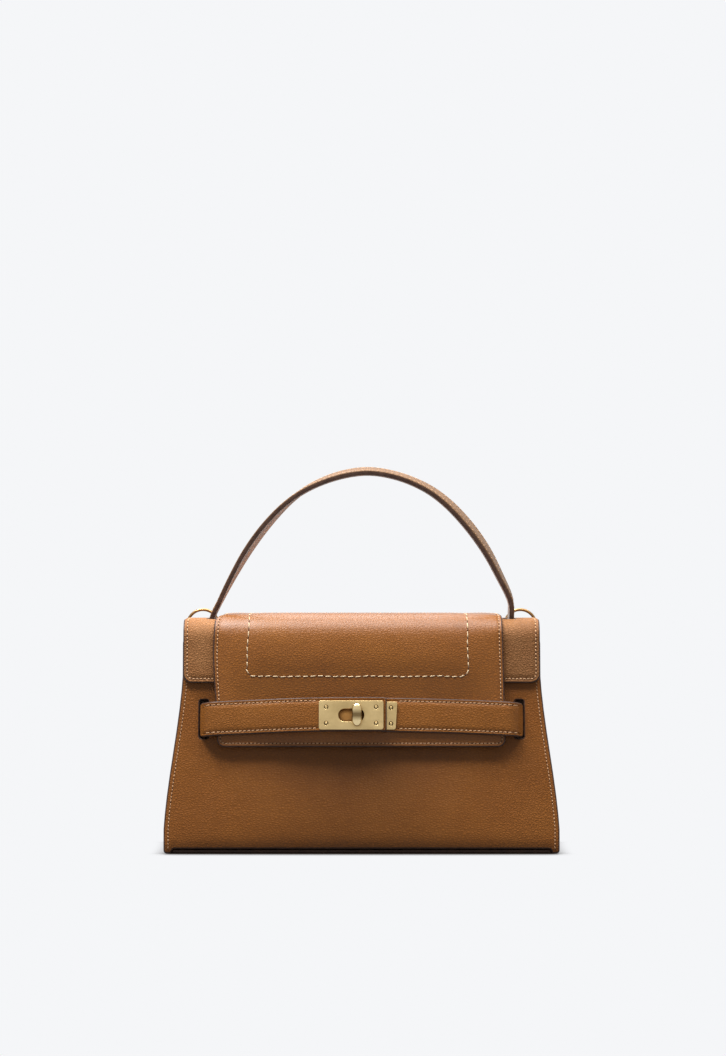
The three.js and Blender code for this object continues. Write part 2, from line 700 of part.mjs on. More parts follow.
const handle = new THREE.Group();
handle.position.z = toggleZ;
handle.rotation.x = HANDLE_LEAN;
bag.add(handle);
const eyes = [-HANDLE_X, HANDLE_X].map((x) =>
  rod(x - TOGGLE_LENGTH, x + TOGGLE_LENGTH, 0, toggleZ, TOGGLE_RADIUS + GAP),
);
const outerPly = cut(ply(GAP / 2, GAP / 2 + HANDLE_PLY), ...eyes).translate(0, 0, -toggleZ);
const innerPly = cut(ply(-GAP / 2 - HANDLE_PLY, -GAP / 2), ...eyes).translate(0, 0, -toggleZ);
piece(handle, "handle_outer", outerPly, tan);
piece(handle, "handle_inner", innerPly, tanInside);
for (const side of sides) {
  const x = side * HANDLE_X;
  const toggle = rod(x - TOGGLE_LENGTH / 2, x + TOGGLE_LENGTH / 2, 0, toggleZ, TOGGLE_RADIUS, 12);
  piece(flap, `handle_toggle_${side < 0 ? "left" : "right"}`, toggle, brass);
}

// Strap rings stand in leather loops sewn to the back yoke.
const eyeRadius = RING_WIRE_RADIUS + GAP;
const loopRadius = eyeRadius + LOOP_PLY;
const loopW = yokeOuter + GAP + loopRadius;
const barV = vAtHeight(RING_BAR_Z, loopW);
const barY = faceDepth(RING_BAR_Z, loopW);
function ringPath() {
  const half = RING_WIDTH / 2 - RING_WIRE_RADIUS;
  const corner = RING_WIRE_RADIUS * 2;
  const path = new THREE.Path();
  path.moveTo(0, 0);
  path.lineTo(half - corner, 0);
  path.absarc(half - corner, corner, corner, -Math.PI / 2, 0);
  path.absarc(0, RING_SIDE, half, 0, Math.PI);
  path.absarc(-half + corner, corner, corner, Math.PI, Math.PI * 1.5);
  path.lineTo(0, 0);
  return path.getSpacedPoints(40).slice(0, -1);
}

function ring() {
  const points = ringPath();
  const contour = Array.from({ length: 8 }, (_, i) => {
    const angle = (i * Math.PI) / 4;
    return new THREE.Vector2(Math.cos(angle), Math.sin(angle)).multiplyScalar(RING_WIRE_RADIUS);
  });
  const rings = points.map((p, i) => {
    const next = points[(i + 1) % points.length];
    const last = points[(i + points.length - 1) % points.length];
    const along = next.clone().sub(last).normalize();
    return contour.map(
      (c) => new THREE.Vector3(p.x + along.y * c.x, c.y, p.y - along.x * c.x),
    );
  });
  return skin(rings, contour, true);
}

for (const side of sides) {
  const name = side < 0 ? "left" : "right";
  const strapRing = new THREE.Group();
  strapRing.position.set(side * RING_X, barY, RING_BAR_Z);
  bag.add(strapRing);
  piece(strapRing, `strap_ring_${name}`, ring(), brass);

  // The back face runs the other way across.
  const x0 = -side * RING_X - LOOP_WIDTH / 2;
  const x1 = x0 + LOOP_WIDTH;
  const roll = rod(x0, x1, barV, loopW, loopRadius, 20);
  const tail = box(x0, x1, barV - LOOP_TAIL, barV, yokeOuter + GAP, yokeOuter + GAP + 2 * LOOP_PLY);
  const eye = rod(x0 - 1, x1 + 1, barV, loopW, eyeRadius, 20);
  piece(backFace, `ring_loop_${name}`, cut(join(roll, tail), eye), tan);
}

export default bag;
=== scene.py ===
from math import atan2, copysign, cos, exp, hypot, pi, radians, sin, sqrt, tan

import bmesh
import bpy
import numpy as np
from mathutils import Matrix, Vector
from mathutils.geometry import delaunay_2d_cdt
from mathutils.kdtree import KDTree


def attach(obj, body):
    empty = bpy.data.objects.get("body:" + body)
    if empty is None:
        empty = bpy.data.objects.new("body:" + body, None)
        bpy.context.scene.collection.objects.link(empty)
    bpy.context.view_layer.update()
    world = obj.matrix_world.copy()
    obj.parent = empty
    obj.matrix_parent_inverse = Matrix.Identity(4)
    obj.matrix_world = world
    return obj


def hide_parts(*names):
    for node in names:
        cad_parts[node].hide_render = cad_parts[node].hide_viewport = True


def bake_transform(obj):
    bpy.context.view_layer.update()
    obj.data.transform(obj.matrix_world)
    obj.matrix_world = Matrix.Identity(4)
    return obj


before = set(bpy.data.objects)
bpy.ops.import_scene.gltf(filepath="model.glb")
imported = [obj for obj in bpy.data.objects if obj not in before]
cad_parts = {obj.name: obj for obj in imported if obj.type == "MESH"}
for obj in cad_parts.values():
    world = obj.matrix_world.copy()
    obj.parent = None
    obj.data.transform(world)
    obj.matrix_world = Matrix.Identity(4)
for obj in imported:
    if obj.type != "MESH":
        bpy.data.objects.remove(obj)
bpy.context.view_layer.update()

# Sizes of the bag in millimetres, as its solids have them.
GAP = 0.3
BASE_DEPTH, TOP_DEPTH, BODY_HEIGHT = 82.0, 44.0, 128.0
BASE_HALF, TOP_HALF = 110.3, 100.3
FLARE_BOTTOM, FLARE_TOP = 14.0, 98.0
LEAN = atan2((BASE_DEPTH - TOP_DEPTH) / 2, BODY_HEIGHT)
SIN, COS = sin(LEAN), cos(LEAN)
PANEL, BOARD_T, YOKE = 2.2, 1.8, 2.2
FLAP_BEND = 9.0
WING, WING_V, WING_HALF = 2.0, 95.5, 100.0
COVER, COVER_V, COVER_HALF = 2.2, 59.3, 80.0
WING_OUTER = GAP + WING
COVER_INNER = WING_OUTER + GAP
COVER_OUTER = COVER_INNER + COVER
BELT, BELT_HALF, BELT_RISE, BELT_LIFT = 2.0, 9.6, 1.9, 0.65
BRASS_T = 1.0
BELT_INNER = COVER_OUTER + GAP
TONGUE_INNER = BELT_INNER + BELT + GAP
LAP_INNER = TONGUE_INNER + BRASS_T + GAP
PLATE_INNER = LAP_INNER + BELT + GAP
PLATE_OUTER = PLATE_INNER + BRASS_T
SLOT_X, SLOT_V = 88.2, 74.6
LOCK_X, KNOB_X, LOCK_V = -5.8, -2.6, SLOT_V + BELT_RISE
TOGGLE_R = 1.25
TOGGLE_Z = BODY_HEIGHT - GAP - TOGGLE_R
MM = 0.001
SIDES = ((-1, "left"), (1, "right"))


def clamp(t):
    return min(1.0, max(0.0, t))


def ease(t):
    t = clamp(t)
    return t * t * (3 - 2 * t)


def face_depth(z, w):
    """Half the bag's depth at height z, at w outside the leather's outer face."""
    return BASE_DEPTH / 2 - (z * SIN - w) / COS


def half_width(z):
    share = clamp((z - FLARE_BOTTOM) / (FLARE_TOP - FLARE_BOTTOM))
    return BASE_HALF + (TOP_HALF - BASE_HALF) * (ease(share) + share) / 2


HINGE_Y = face_depth(BODY_HEIGHT - GAP, GAP + YOKE)


def on_front(u, v, w):
    """A point of the leaning front: u to the right, v up the slope, w out of the leather's outer face."""
    return Vector((u, -BASE_DEPTH / 2 + v * SIN - w * COS, v * COS + w * SIN))


def on_back(u, v, w):
    p = on_front(u, v, w)
    return Vector((p.x, -p.y, p.z))


# Mesh helpers: a leather piece is a flat outline with a thickness, laid in place by a function.
ARC_STEP = 0.9


def turns(count):
    return [2 * pi * k / count for k in range(count)]


def round_about(centre, a, b, count):
    """Points on the ellipse with the half axes a and b."""
    return [centre + a * cos(t) + b * sin(t) for t in turns(count)]


def outline(corners, step=2.0):
    """A closed loop through corners (x, y, radius), with its straight runs split into steps."""
    loop = []
    count = len(corners)
    for i, (x, y, radius) in enumerate(corners):
        here = Vector((x, y))
        before = Vector(corners[i - 1][:2]) - here
        after = Vector(corners[(i + 1) % count][:2]) - here
        a, b = before.normalized(), after.normalized()
        angle = a.angle(b)
        if radius <= 0 or angle > pi - 0.02:
            loop.append(here)
            continue
        reach = min(radius / tan(angle / 2), before.length * 0.49, after.length * 0.49)
        radius = reach * tan(angle / 2)
        centre = here + (a + b).normalized() * (radius / sin(angle / 2))
        first, last = here + a * reach - centre, here + b * reach - centre
        start = atan2(first.y, first.x)
        sweep = (atan2(last.y, last.x) - start + pi) % (2 * pi) - pi
        parts = max(4, round(abs(sweep) * radius / ARC_STEP))
        for k in range(parts + 1):
            turn = start + sweep * k / parts
            loop.append(centre + Vector((cos(turn), sin(turn))) * radius)
    fine = []
    for i, p in enumerate(loop):
        q = loop[(i + 1) % len(loop)]
        parts = max(1, round((q - p).length / step))
        fine += [p.lerp(q, k / parts) for k in range(parts)]
    return fine


def rectangle(x0, x1, y0, y1, radius, step=2.0):
    corners = [(x0, y0), (x1, y0), (x1, y1), (x0, y1)]
    return outline([(x, y, radius) for x, y in corners], step)


def circle(x, y, radius, count=24):
    return round_about(Vector((x, y)), Vector((radius, 0)), Vector((0, radius)), count)


def inset(loop, distance):
    """The loop moved to its left by a distance, which is inwards on a loop that runs anticlockwise."""
    moved = []
    count = len(loop)
    for i, p in enumerate(loop):
        a = (p - loop[i - 1]).normalized()
        b = (loop[(i + 1) % count] - p).normalized()
        na, nb = Vector((-a.y, a.x)), Vector((-b.y, b.x))
        middle = (na + nb).normalized()
        moved.append(p + middle * (distance / max(0.5, middle.dot(na))))
    return moved


def inside(points, loops):
    """Which points lie within the loops, by counting crossings."""
    px, py = points[:, 0], points[:, 1]
    odd = np.zeros(len(points), bool)
    for loop in loops:
        for i, p in enumerate(loop):
            q = loop[i - 1]
            if p.y == q.y:
                continue
            crosses = (p.y > py) != (q.y > py)
            odd ^= crosses & (px < (q.x - p.x) * (py - p.y) / (q.y - p.y) + p.x)
    return odd


NET_CLEARANCE = 0.45


def fill(bm, rings, loops, place, w, step, index):
    """Fills one face of a sheet between its loops with an even net of triangles."""
    known = [v for ring in rings for v in ring]
    coords = [p for loop in loops for p in loop]
    edges = []
    start = 0
    for loop in loops:
        count = len(loop)
        edges += [(start + i, start + (i + 1) % count) for i in range(count)]
        start += count
    tree = KDTree(len(coords))
    for i, p in enumerate(coords):
        tree.insert((p.x, p.y, 0), i)
    tree.balance()
    low = Vector((min(p.x for p in loops[0]), min(p.y for p in loops[0])))
    high = Vector((max(p.x for p in loops[0]), max(p.y for p in loops[0])))
    wide, tall = high.x - low.x, high.y - low.y
    across, up = max(1, round(wide / step)), max(1, round(tall / step))
    net = [
        Vector((low.x + wide * (i + 0.5 * (j % 2)) / across, low.y + tall * j / up))
        for j in range(up + 1)
        for i in range(across + 1)
    ]
    held = inside(np.array([(p.x, p.y) for p in net]), loops)
    net = [p for p, ok in zip(net, held) if ok and tree.find((p.x, p.y, 0))[2] > step * NET_CLEARANCE]
    points, _, faces, origins, _, _ = delaunay_2d_cdt(coords + net, edges, [], 0, 1e-5)
    centres = np.array([[sum(points[i][k] for i in f) / 3 for k in (0, 1)] for f in faces])
    held = inside(centres, loops)
    made = {}
    for face, ok in zip(faces, held):
        if not ok:
            continue
        corners = []
        for i in face:
            source = origins[i][0] if origins[i] else -1
            if 0 <= source < len(known):
                corners.append(known[source])
                continue
            if i not in made:
                made[i] = bm.verts.new(place(points[i].x, points[i].y, w) * MM)
            corners.append(made[i])
        if len(set(corners)) == 3:
            bm.faces.new(corners).material_index = index


def verts(bm, points):
    return [bm.verts.new(p * MM) for p in points]


def bridge(bm, a, b, index=0, closed=True):
    """Faces between two rows of vertices, or between a ring and a tip."""
    count = max(len(a), len(b))
    for k in range(count if closed else count - 1):
        n = (k + 1) % count
        corners = (a[k % len(a)], a[n % len(a)], b[n % len(b)], b[k % len(b)])
        corners = list(dict.fromkeys(corners))
        if len(corners) > 2:
            bm.faces.new(corners).material_index = index


def bridge_all(bm, rings, index=0, closed=True):
    for a, b in zip(rings, rings[1:]):
        bridge(bm, a, b, index, closed)


def add_object(name, data):
    made = bpy.data.objects.new(name, data)
    bpy.context.scene.collection.objects.link(made)
    return made


def finish_mesh(name, bm, mats):
    bmesh.ops.remove_doubles(bm, verts=bm.verts, dist=1e-7)
    bmesh.ops.recalc_face_normals(bm, faces=bm.faces)
    mesh = bpy.data.meshes.new(name)
    bm.to_mesh(mesh)
    bm.free()
    for mat in mats:
        mesh.materials.append(mat)
    mesh.polygons.foreach_set("use_smooth", [True] * len(mesh.polygons))
    return add_object(name, mesh)


# Half width of a pressed sewing line, half width of its floor, and its depth.
GROOVE_HALF, GROOVE_FLOOR, GROOVE_DEPTH = 0.7, 0.25, 0.22


def sheet(name, loops, place, thick, mats, edge, groove=None, step=4.0, bare=False):
    """A piece of leather or plate: mats are its face, its painted edge and its back.
    The edge paint runs over both rounded corners, or stops short of them where bare is set."""
    bm = bmesh.new()
    loops = [loops[0]] + [list(reversed(hole)) for hole in loops[1:]]
    quarter = [radians(t) for t in (0, 30, 60, 90)]
    under, over = (2, 0) if bare else (1, 1)
    profile = [(edge * (1 - sin(t)), edge * (1 - cos(t)), under) for t in quarter]
    profile += [(edge * (1 - cos(t)), thick - edge + edge * sin(t), over) for t in quarter]
    profile[len(quarter)] = profile[len(quarter)][:2] + (1,)
    if groove:
        profile.append((groove - GROOVE_HALF, thick, 0))
        profile += [(groove + d, thick - GROOVE_DEPTH, 0) for d in (-GROOVE_FLOOR, GROOVE_FLOOR)]
        profile.append((groove + GROOVE_HALF, thick, 0))
    lower, upper = [], []
    for k, loop in enumerate(loops):
        rows = [(inset(loop, d), w, index) for d, w, index in profile if k == 0 or d <= edge]
        rings = [verts(bm, [place(p.x, p.y, w) for p in line]) for line, w, _ in rows]
        for a, b, row in zip(rings, rings[1:], rows[1:]):
            bridge(bm, a, b, row[2])
        lower.append((rings[0], rows[0][0]))
        upper.append((rings[-1], rows[-1][0]))
    for ends, w, index in ((upper, thick, 0), (lower, 0.0, 2)):
        fill(bm, [e[0] for e in ends], [e[1] for e in ends], place, w, step, index)
    return finish_mesh(name, bm, mats)


def walk(path, closed=False):
    """The points of a path, closed on itself if asked, and how far along it each one lies."""
    points = list(path) + ([path[0]] if closed else [])
    marks = [0.0]
    for p, q in zip(points, points[1:]):
        marks.append(marks[-1] + (q - p).length)
    return points, marks


def at_distance(points, marks, s):
    i = min(max(int(np.searchsorted(marks, s)) - 1, 0), len(points) - 2)
    span = marks[i + 1] - marks[i]
    t = (s - marks[i]) / span if span > 1e-9 else 0.0
    along = (points[i + 1] - points[i]).normalized()
    return points[i].lerp(points[i + 1], t), along


# The rings of one stitch: share of its half length, lift, and size.
STITCH = ((-1, -0.3, 0.45), (-0.8, 0.02, 0.9), (0, 0.12, 1), (0.8, 0.02, 0.9), (1, -0.3, 0.45))
THREAD_FLATNESS, STITCH_SIDES, HOLE_SIDES = 0.75, 6, 8


def stitches(name, runs, mats, pitch=2.6, length=1.9, radius=0.27, slant=8.0):
    """Rows of sewing thread with a dark disc of painted shade for the needle hole between stitches.
    Runs are (path, closed, place, height over the piece's inside); mats are the thread and the hole's
    painted shade."""
    bm = bmesh.new()
    c, s = cos(radians(slant)), sin(radians(slant))
    wide, tall = (pitch - length) * 0.75, radius * 1.15
    for path, closed, place, w in runs:
        points, marks = walk(path, closed)
        count = max(1, int(marks[-1] / pitch))
        for k in range(count):
            middle, along = at_distance(points, marks, (k + 0.5) * marks[-1] / count)
            way = Vector((along.x * c - along.y * s, along.x * s + along.y * c))
            rings = []
            for share, lift, size in STITCH:
                p = middle + way * (length / 2 * share)
                here = place(p.x, p.y, w + lift)
                normal = (place(p.x, p.y, w + lift + 0.5) - here).normalized()
                ahead = (place(p.x + way.x * 0.2, p.y + way.y * 0.2, w + lift) - here).normalized()
                side = normal.cross(ahead).normalized()
                side *= radius * size
                normal *= radius * size * THREAD_FLATNESS
                rings.append(verts(bm, round_about(here, side, normal, STITCH_SIDES)))
            bridge_all(bm, rings)
            bm.faces.new(rings[0])
            bm.faces.new(rings[-1])
            # A dark disc of painted shade stands for the needle hole.
            spot, along = at_distance(points, marks, (k + 0.02) * marks[-1] / count)
            side = Vector((-along.y, along.x))
            rim = round_about(spot, along * wide, side * tall, HOLE_SIDES)
            disc = verts(bm, [place(p.x, p.y, w + 0.02) for p in rim])
            bridge(bm, disc, verts(bm, [place(spot.x, spot.y, w + 0.05)]), 1)
            bm.faces.new(disc).material_index = 1
    return finish_mesh(name, bm, mats)


def spin(bm, profile, place, count=28):
    """Adds a turned form: profile holds (radius, height) from the axis round to the axis."""
    rings = []
    for r, h in profile:
        spokes = turns(count) if r else [0]
        rings.append(verts(bm, [place(r * cos(t), r * sin(t), h) for t in spokes]))
    bridge_all(bm, rings)


def lathe(name, profile, place, mats, count=28):
    bm = bmesh.new()
    spin(bm, profile, place, count)
    return finish_mesh(name, bm, mats)


def wire_ring(name, points, radius, mats, count=16):
    """A round wire along points in millimetres, closed on itself."""
    bm = bmesh.new()
    rings = []
    for i, p in enumerate(points):
        along = (points[(i + 1) % len(points)] - points[i - 1]).normalized()
        side = Vector((0, 1, 0)).cross(along).normalized()
        rings.append(verts(bm, round_about(p, side * radius, along.cross(side) * radius, count)))
    bridge_all(bm, rings + rings[:1])
    return finish_mesh(name, bm, mats)


# Materials. Colours are written as they look on a screen, from 0 to 255.
def colour(r, g, b):
    def linear(c):
        c /= 255
        return c / 12.92 if c <= 0.04045 else ((c + 0.055) / 1.055) ** 2.4

    return (linear(r), linear(g), linear(b), 1.0)


class Nodes:
    """Builds the node tree of a material or a world."""

    def __init__(self, owner):
        owner.use_nodes = True
        self.tree = owner.node_tree
        self.tree.nodes.clear()

    def add(self, kind, sockets=None, **values):
        node = self.tree.nodes.new(kind)
        for key, value in values.items():
            setattr(node, key, value)
        for key, value in (sockets or {}).items():
            node.inputs[key].default_value = value
        return node

    def link(self, source, out, target, into):
        self.tree.links.new(source.outputs[out], target.inputs[into])

    def ramp(self, source, stops, out="Fac"):
        """A colour ramp over an output; each stop is (place, colour or grey)."""
        node = self.add("ShaderNodeValToRGB")
        self.link(source, out, node, "Fac")
        bar = node.color_ramp.elements
        while len(bar) < len(stops):
            bar.new(0.5)
        for element, (place, value) in zip(bar, stops):
            element.position = place
            element.color = colour(*value) if isinstance(value, tuple) else (value, value, value, 1)
        return node


# Sockets of a colour mix node.
MIX_A, MIX_B, MIXED = 6, 7, 2


class Paint(Nodes):
    """Builds one material with a principled shader."""

    def __init__(self, name):
        self.mat = bpy.data.materials.new(name)
        super().__init__(self.mat)
        out = self.add("ShaderNodeOutputMaterial")
        self.shader = self.add("ShaderNodeBsdfPrincipled")
        self.link(self.shader, "BSDF", out, "Surface")
        self.coords = self.add("ShaderNodeTexCoord")

    def mapping(self, scale, location=(0, 0, 0)):
        node = self.add("ShaderNodeMapping", {"Location": location, "Scale": scale})
        self.link(self.coords, "Object", node, "Vector")
        return node

    def noise(self, scale, detail, rough, stretch=None):
        node = self.add("ShaderNodeTexNoise", {"Scale": scale, "Detail": detail, "Roughness": rough})
        if stretch:
            self.link(self.mapping(stretch), "Vector", node, "Vector")
        else:
            self.link(self.coords, "Object", node, "Vector")
        return node

    def shade_patch(self, centre, radii, tone):
        """A soft round patch of painted shade, in which the colour is multiplied by tone, fading out at the
        radii.
        """
        scale = [1 / r for r in radii]
        spot = self.mapping(scale, [-c * k for c, k in zip(centre, scale)])
        fade = self.add("ShaderNodeTexGradient", gradient_type="SPHERICAL")
        self.link(spot, "Vector", fade, "Vector")
        ramp = self.ramp(fade, [(0.0, 1.0), (0.9, tone)])
        ramp.color_ramp.interpolation = "EASE"
        return ramp

    def mix(self, kind, factor, a, b):
        """Mixes two colours, each (node, output) or plain; factor is (node, output) or a number."""
        node = self.add("ShaderNodeMix", data_type="RGBA", blend_type=kind)
        if isinstance(factor, tuple):
            self.link(*factor, node, "Factor")
        else:
            node.inputs["Factor"].default_value = factor
        for port, source in ((MIX_A, a), (MIX_B, b)):
            if len(source) == 3:
                node.inputs[port].default_value = colour(*source)
            else:
                self.link(*source, node, port)
        return node

    def bump(self, source, strength, distance, below=None, out="Fac"):
        node = self.add("ShaderNodeBump", {"Strength": strength, "Distance": distance})
        self.link(source, out, node, "Height")
        if below:
            self.link(below, "Normal", node, "Normal")
        return node

    def put(self, **sockets):
        for key, value in sockets.items():
            self.shader.inputs[key.replace("_", " ")].default_value = value

    def feed(self, source, socket, out="Color"):
        self.link(source, out, self.shader, socket)


def leather(name, dark, middle, light, rough=(0.4, 0.5), grain=0.24, level=0.26, cloud=30,
            coat=0.0, painted_shade=None):
    """Grained cowhide: soft clouds of tone, a wrinkled pebble grain with darker creases, and fine pores.
    The last argument is a patch (centre, radii, tone) of painted shade, in which it is darker."""
    paint = Paint(name)
    tone = paint.ramp(paint.noise(cloud, 4, 0.6), [(0.26, dark), (0.5, middle), (0.76, light)])
    pebble = paint.add("ShaderNodeTexVoronoi", {"Scale": 560}, feature="DISTANCE_TO_EDGE")
    paint.link(paint.mapping((1.0, 1.45, 1.45)), "Vector", pebble, "Vector")
    crease = paint.ramp(pebble, [(0.0, 0.66), (0.2, 1.0)], "Distance")
    body = paint.mix("MULTIPLY", 0.6, (tone, "Color"), (crease, "Color"))
    speck = paint.noise(1500, 3, 0.65)
    fleck = paint.ramp(speck, [(0.3, 0.88), (0.7, 1.08)])
    body = paint.mix("MULTIPLY", 0.4, (body, MIXED), (fleck, "Color"))
    # A patch of painted shade.
    if painted_shade:
        body = paint.mix("MULTIPLY", 1.0, (body, MIXED), (paint.shade_patch(*painted_shade), "Color"))
    paint.feed(body, "Base Color", MIXED)
    gloss = paint.ramp(paint.noise(70, 4, 0.6), [(0.3, rough[0]), (0.7, rough[1])])
    paint.feed(gloss, "Roughness")
    fold = paint.bump(paint.noise(45, 3, 0.5), 0.08, 0.004)
    pores = paint.bump(speck, 0.1, 0.0003, fold)
    height = paint.ramp(pebble, [(0.0, 0.0), (0.4, 1.0)], "Distance")
    paint.feed(paint.bump(height, grain, 0.0006, pores, "Color"), "Normal", "Normal")
    paint.put(Specular_IOR_Level=level, Coat_Weight=coat, Coat_Roughness=0.4, Coat_IOR=1.33)
    return paint.mat


def streaked(name, dark, light, noise, high, rough, bump, level):
    """An even finish with fine streaks."""
    paint = Paint(name)
    streak = paint.noise(*noise)
    paint.feed(paint.ramp(streak, [(0.3, dark), (high, light)]), "Base Color")
    paint.feed(paint.ramp(streak, [(0.3, rough[0]), (0.7, rough[1])]), "Roughness")
    paint.feed(paint.bump(streak, *bump), "Normal", "Normal")
    paint.put(Specular_IOR_Level=level)
    return paint.mat


def edge_paint(name, dark, light):
    return streaked(name, dark, light, (300, 3, 0.6), 0.75, (0.34, 0.5), (0.15, 0.0003), 0.2)


def thread(name, dark, light):
    return streaked(name, dark, light, (1500, 2, 0.6), 0.7, (0.6, 0.8), (0.4, 0.0002), 0.5)


def woven(paint, tone, weave, stops, rough, bump, sheen):
    """Feeds a cloth or nap: its tone multiplied by the weave, which also gives the relief."""
    shade = paint.ramp(weave, stops)
    body = paint.mix("MULTIPLY", 0.8, (tone, "Color"), (shade, "Color"))
    paint.feed(body, "Base Color", MIXED)
    paint.feed(rough, "Roughness")
    paint.feed(paint.bump(weave, *bump), "Normal", "Normal")
    paint.put(Sheen_Weight=sheen[0], Sheen_Roughness=sheen[1])
    return paint.mat


def suede(name, dark, light):
    paint = Paint(name)
    nap = paint.noise(900, 4, 0.7)
    tone = paint.ramp(paint.noise(40, 3, 0.5), [(0.3, dark), (0.7, light)])
    rough = paint.ramp(nap, [(0.2, 0.8), (0.8, 0.96)])
    return woven(paint, tone, nap, [(0.25, 0.78), (0.75, 1.1)], rough, (0.3, 0.0004), (0.15, 0.5))


def cloth(name, dark, light):
    """A close twill with fine diagonal ribs."""
    paint = Paint(name)
    ribs = paint.add("ShaderNodeTexWave", {"Scale": 420, "Distortion": 0.6},
                     wave_type="BANDS", bands_direction="DIAGONAL")
    paint.link(paint.coords, "Object", ribs, "Vector")
    broad = paint.noise(60, 3, 0.5)
    tone = paint.ramp(broad, [(0.3, dark), (0.7, light)])
    rough = paint.ramp(broad, [(0.3, 0.78), (0.7, 0.9)])
    return woven(paint, tone, ribs, [(0.2, 0.82), (0.8, 1.06)], rough, (0.25, 0.0003), (0.2, 0.45))


LINES, SATIN = (40, 900, 900), (300, 300, 300)


def metal(name, dark, light, rough, stretch=LINES, corner=None, band=None):
    """Brushed metal with fine lines one way, or satin metal with fine specks. A corner colour is painted
    shade in the corners and hollows; a band (height, half height, colour) paints a dark reflection in a belt
    round the piece."""
    paint = Paint(name)
    brushed = paint.noise(1.0, 4, 0.65, stretch)
    tone = paint.ramp(paint.noise(90, 3, 0.55), [(0.3, dark), (0.7, light)]), "Color"
    # Painted shade where ambient occlusion finds a hollow.
    if corner:
        near = paint.add("ShaderNodeAmbientOcclusion", {"Distance": 0.004}, samples=12)
        open_part = paint.ramp(near, [(0.25, 0.0), (0.85, 1.0)], "AO")
        tone = paint.mix("MIX", (open_part, "Color"), corner, tone), MIXED
    # A painted dark reflection round the piece at a given height.
    if band:
        middle, half, shade = band
        split = paint.add("ShaderNodeSeparateXYZ")
        paint.link(paint.coords, "Object", split, "Vector")
        level = paint.add("ShaderNodeMapRange", {"From Min": middle - half, "From Max": middle + half})
        paint.link(split, "Z", level, "Value")
        waist = paint.ramp(level, [(0.1, 0.0), (0.42, 1.0), (0.58, 1.0), (0.9, 0.0)], "Result")
        tone = paint.mix("MIX", (waist, "Color"), tone, shade), MIXED
    paint.link(*tone, paint.shader, "Base Color")
    spread = paint.ramp(brushed, [(0.25, rough[0]), (0.75, rough[1])])
    paint.feed(spread, "Roughness")
    paint.feed(paint.bump(brushed, 0.05, 0.0002), "Normal", "Normal")
    paint.put(Metallic=1.0)
    return paint.mat


KNOB_W = 15.4
# The knob's darker waist at this height is a painted reflection.
KNOB_REFLECTION_BAND = on_front(KNOB_X, LOCK_V, KNOB_W).z * MM, 0.0042, (118, 98, 66)
TAN = leather("tan_grain", (127, 75, 22), (136, 82, 27), (144, 89, 33))
TAN_FLAP = leather("tan_flap", (124, 70, 9), (133, 77, 13), (141, 84, 18), coat=0.6)
# The front panel's tan is a darker, redder copy, as painted shade, with a painted shadow under the flap's
# middle.
TAN_PANEL_SHADED = leather(
    "tan_panel_shaded", (123, 71, 20), (132, 78, 25), (140, 85, 30),
    painted_shade=((0, -0.03, 0.045), (0.085, 0.3, 0.075), 0.76))
# The tabs' leather is rough and matte; its darker patch over the right tab is painted shade.
TAN_WORN_SHADED = leather(
    "tan_worn_shaded", (137, 90, 51), (146, 99, 60), (155, 108, 68), (0.5, 0.62), 0.3, 0.1, 60,
    painted_shade=((0.094, -0.04, 0.108), (0.05, 0.3, 0.05), 0.78))
STRAP = leather(
    "strap_grain", (110, 80, 55), (120, 90, 64), (130, 100, 74),
    rough=(0.55, 0.65), grain=0.22, level=0.1, coat=0.3)
STRAP_EDGE = edge_paint("strap_edge_paint", (78, 54, 44), (112, 86, 74))
STRAP_LINING = suede("strap_lining", (238, 220, 210), (248, 234, 226))
# Needle holes are discs of painted shade.
NEEDLE_HOLE_SHADE = leather("needle_hole_shade", (70, 38, 16), (82, 46, 20), (94, 54, 26))
EDGE = edge_paint("edge_paint", (52, 33, 25), (88, 64, 52))
BACK = suede("flesh_side", (140, 100, 66), (166, 124, 86))
CREAM = thread("cream_thread", (206, 180, 140), (232, 210, 174))
WAXED = thread("waxed_thread", (176, 134, 96), (206, 164, 122))
BRASS = metal("brushed_brass", (180, 154, 106), (200, 174, 124), (0.3, 0.46))
# Satin brass and the knob's brass darken in their hollows: painted shade.
BRASS_BRIGHT = metal("satin_brass", (190, 162, 110), (214, 188, 136), (0.2, 0.3), SATIN, (84, 58, 28))
# The rings' brass is darker, as painted shade.
RING_BRASS_SHADED = metal("ring_brass_shaded", (132, 100, 62), (164, 130, 86), (0.26, 0.38), SATIN)
# The shaded brass is a darker copy of the brass, as painted shade, and darkens further in its hollows.
BRASS_SHADED = metal("shaded_brass", (166, 116, 60), (186, 136, 78), (0.34, 0.46), LINES, (52, 28, 12))
KNOB_BRASS = metal(
    "knob_brass", (206, 182, 134), (228, 206, 160), (0.2, 0.3), SATIN, (92, 66, 34), KNOB_REFLECTION_BAND)
# Dark brass for the ring round each rivet head: painted shade in the gap.
RIVET_GAP_SHADE = metal("rivet_gap_shade", (66, 46, 24), (92, 68, 38), (0.5, 0.6), SATIN)
STEEL = metal("dull_steel", (150, 150, 152), (186, 186, 188), (0.3, 0.45))
LINING = cloth("twill_lining", (132, 108, 82), (158, 132, 104))
BOARD = suede("pressed_board", (62, 46, 36), (84, 66, 54))
SKIN = [TAN, EDGE, BACK]
PINK_SEWING = [WAXED, NEEDLE_HOLE_SHADE]
PALE_SEWING = [CREAM, NEEDLE_HOLE_SHADE]


def dress(piece, body, replaced=()):
    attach(piece, body)
    if replaced:
        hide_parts(*replaced)
    return piece


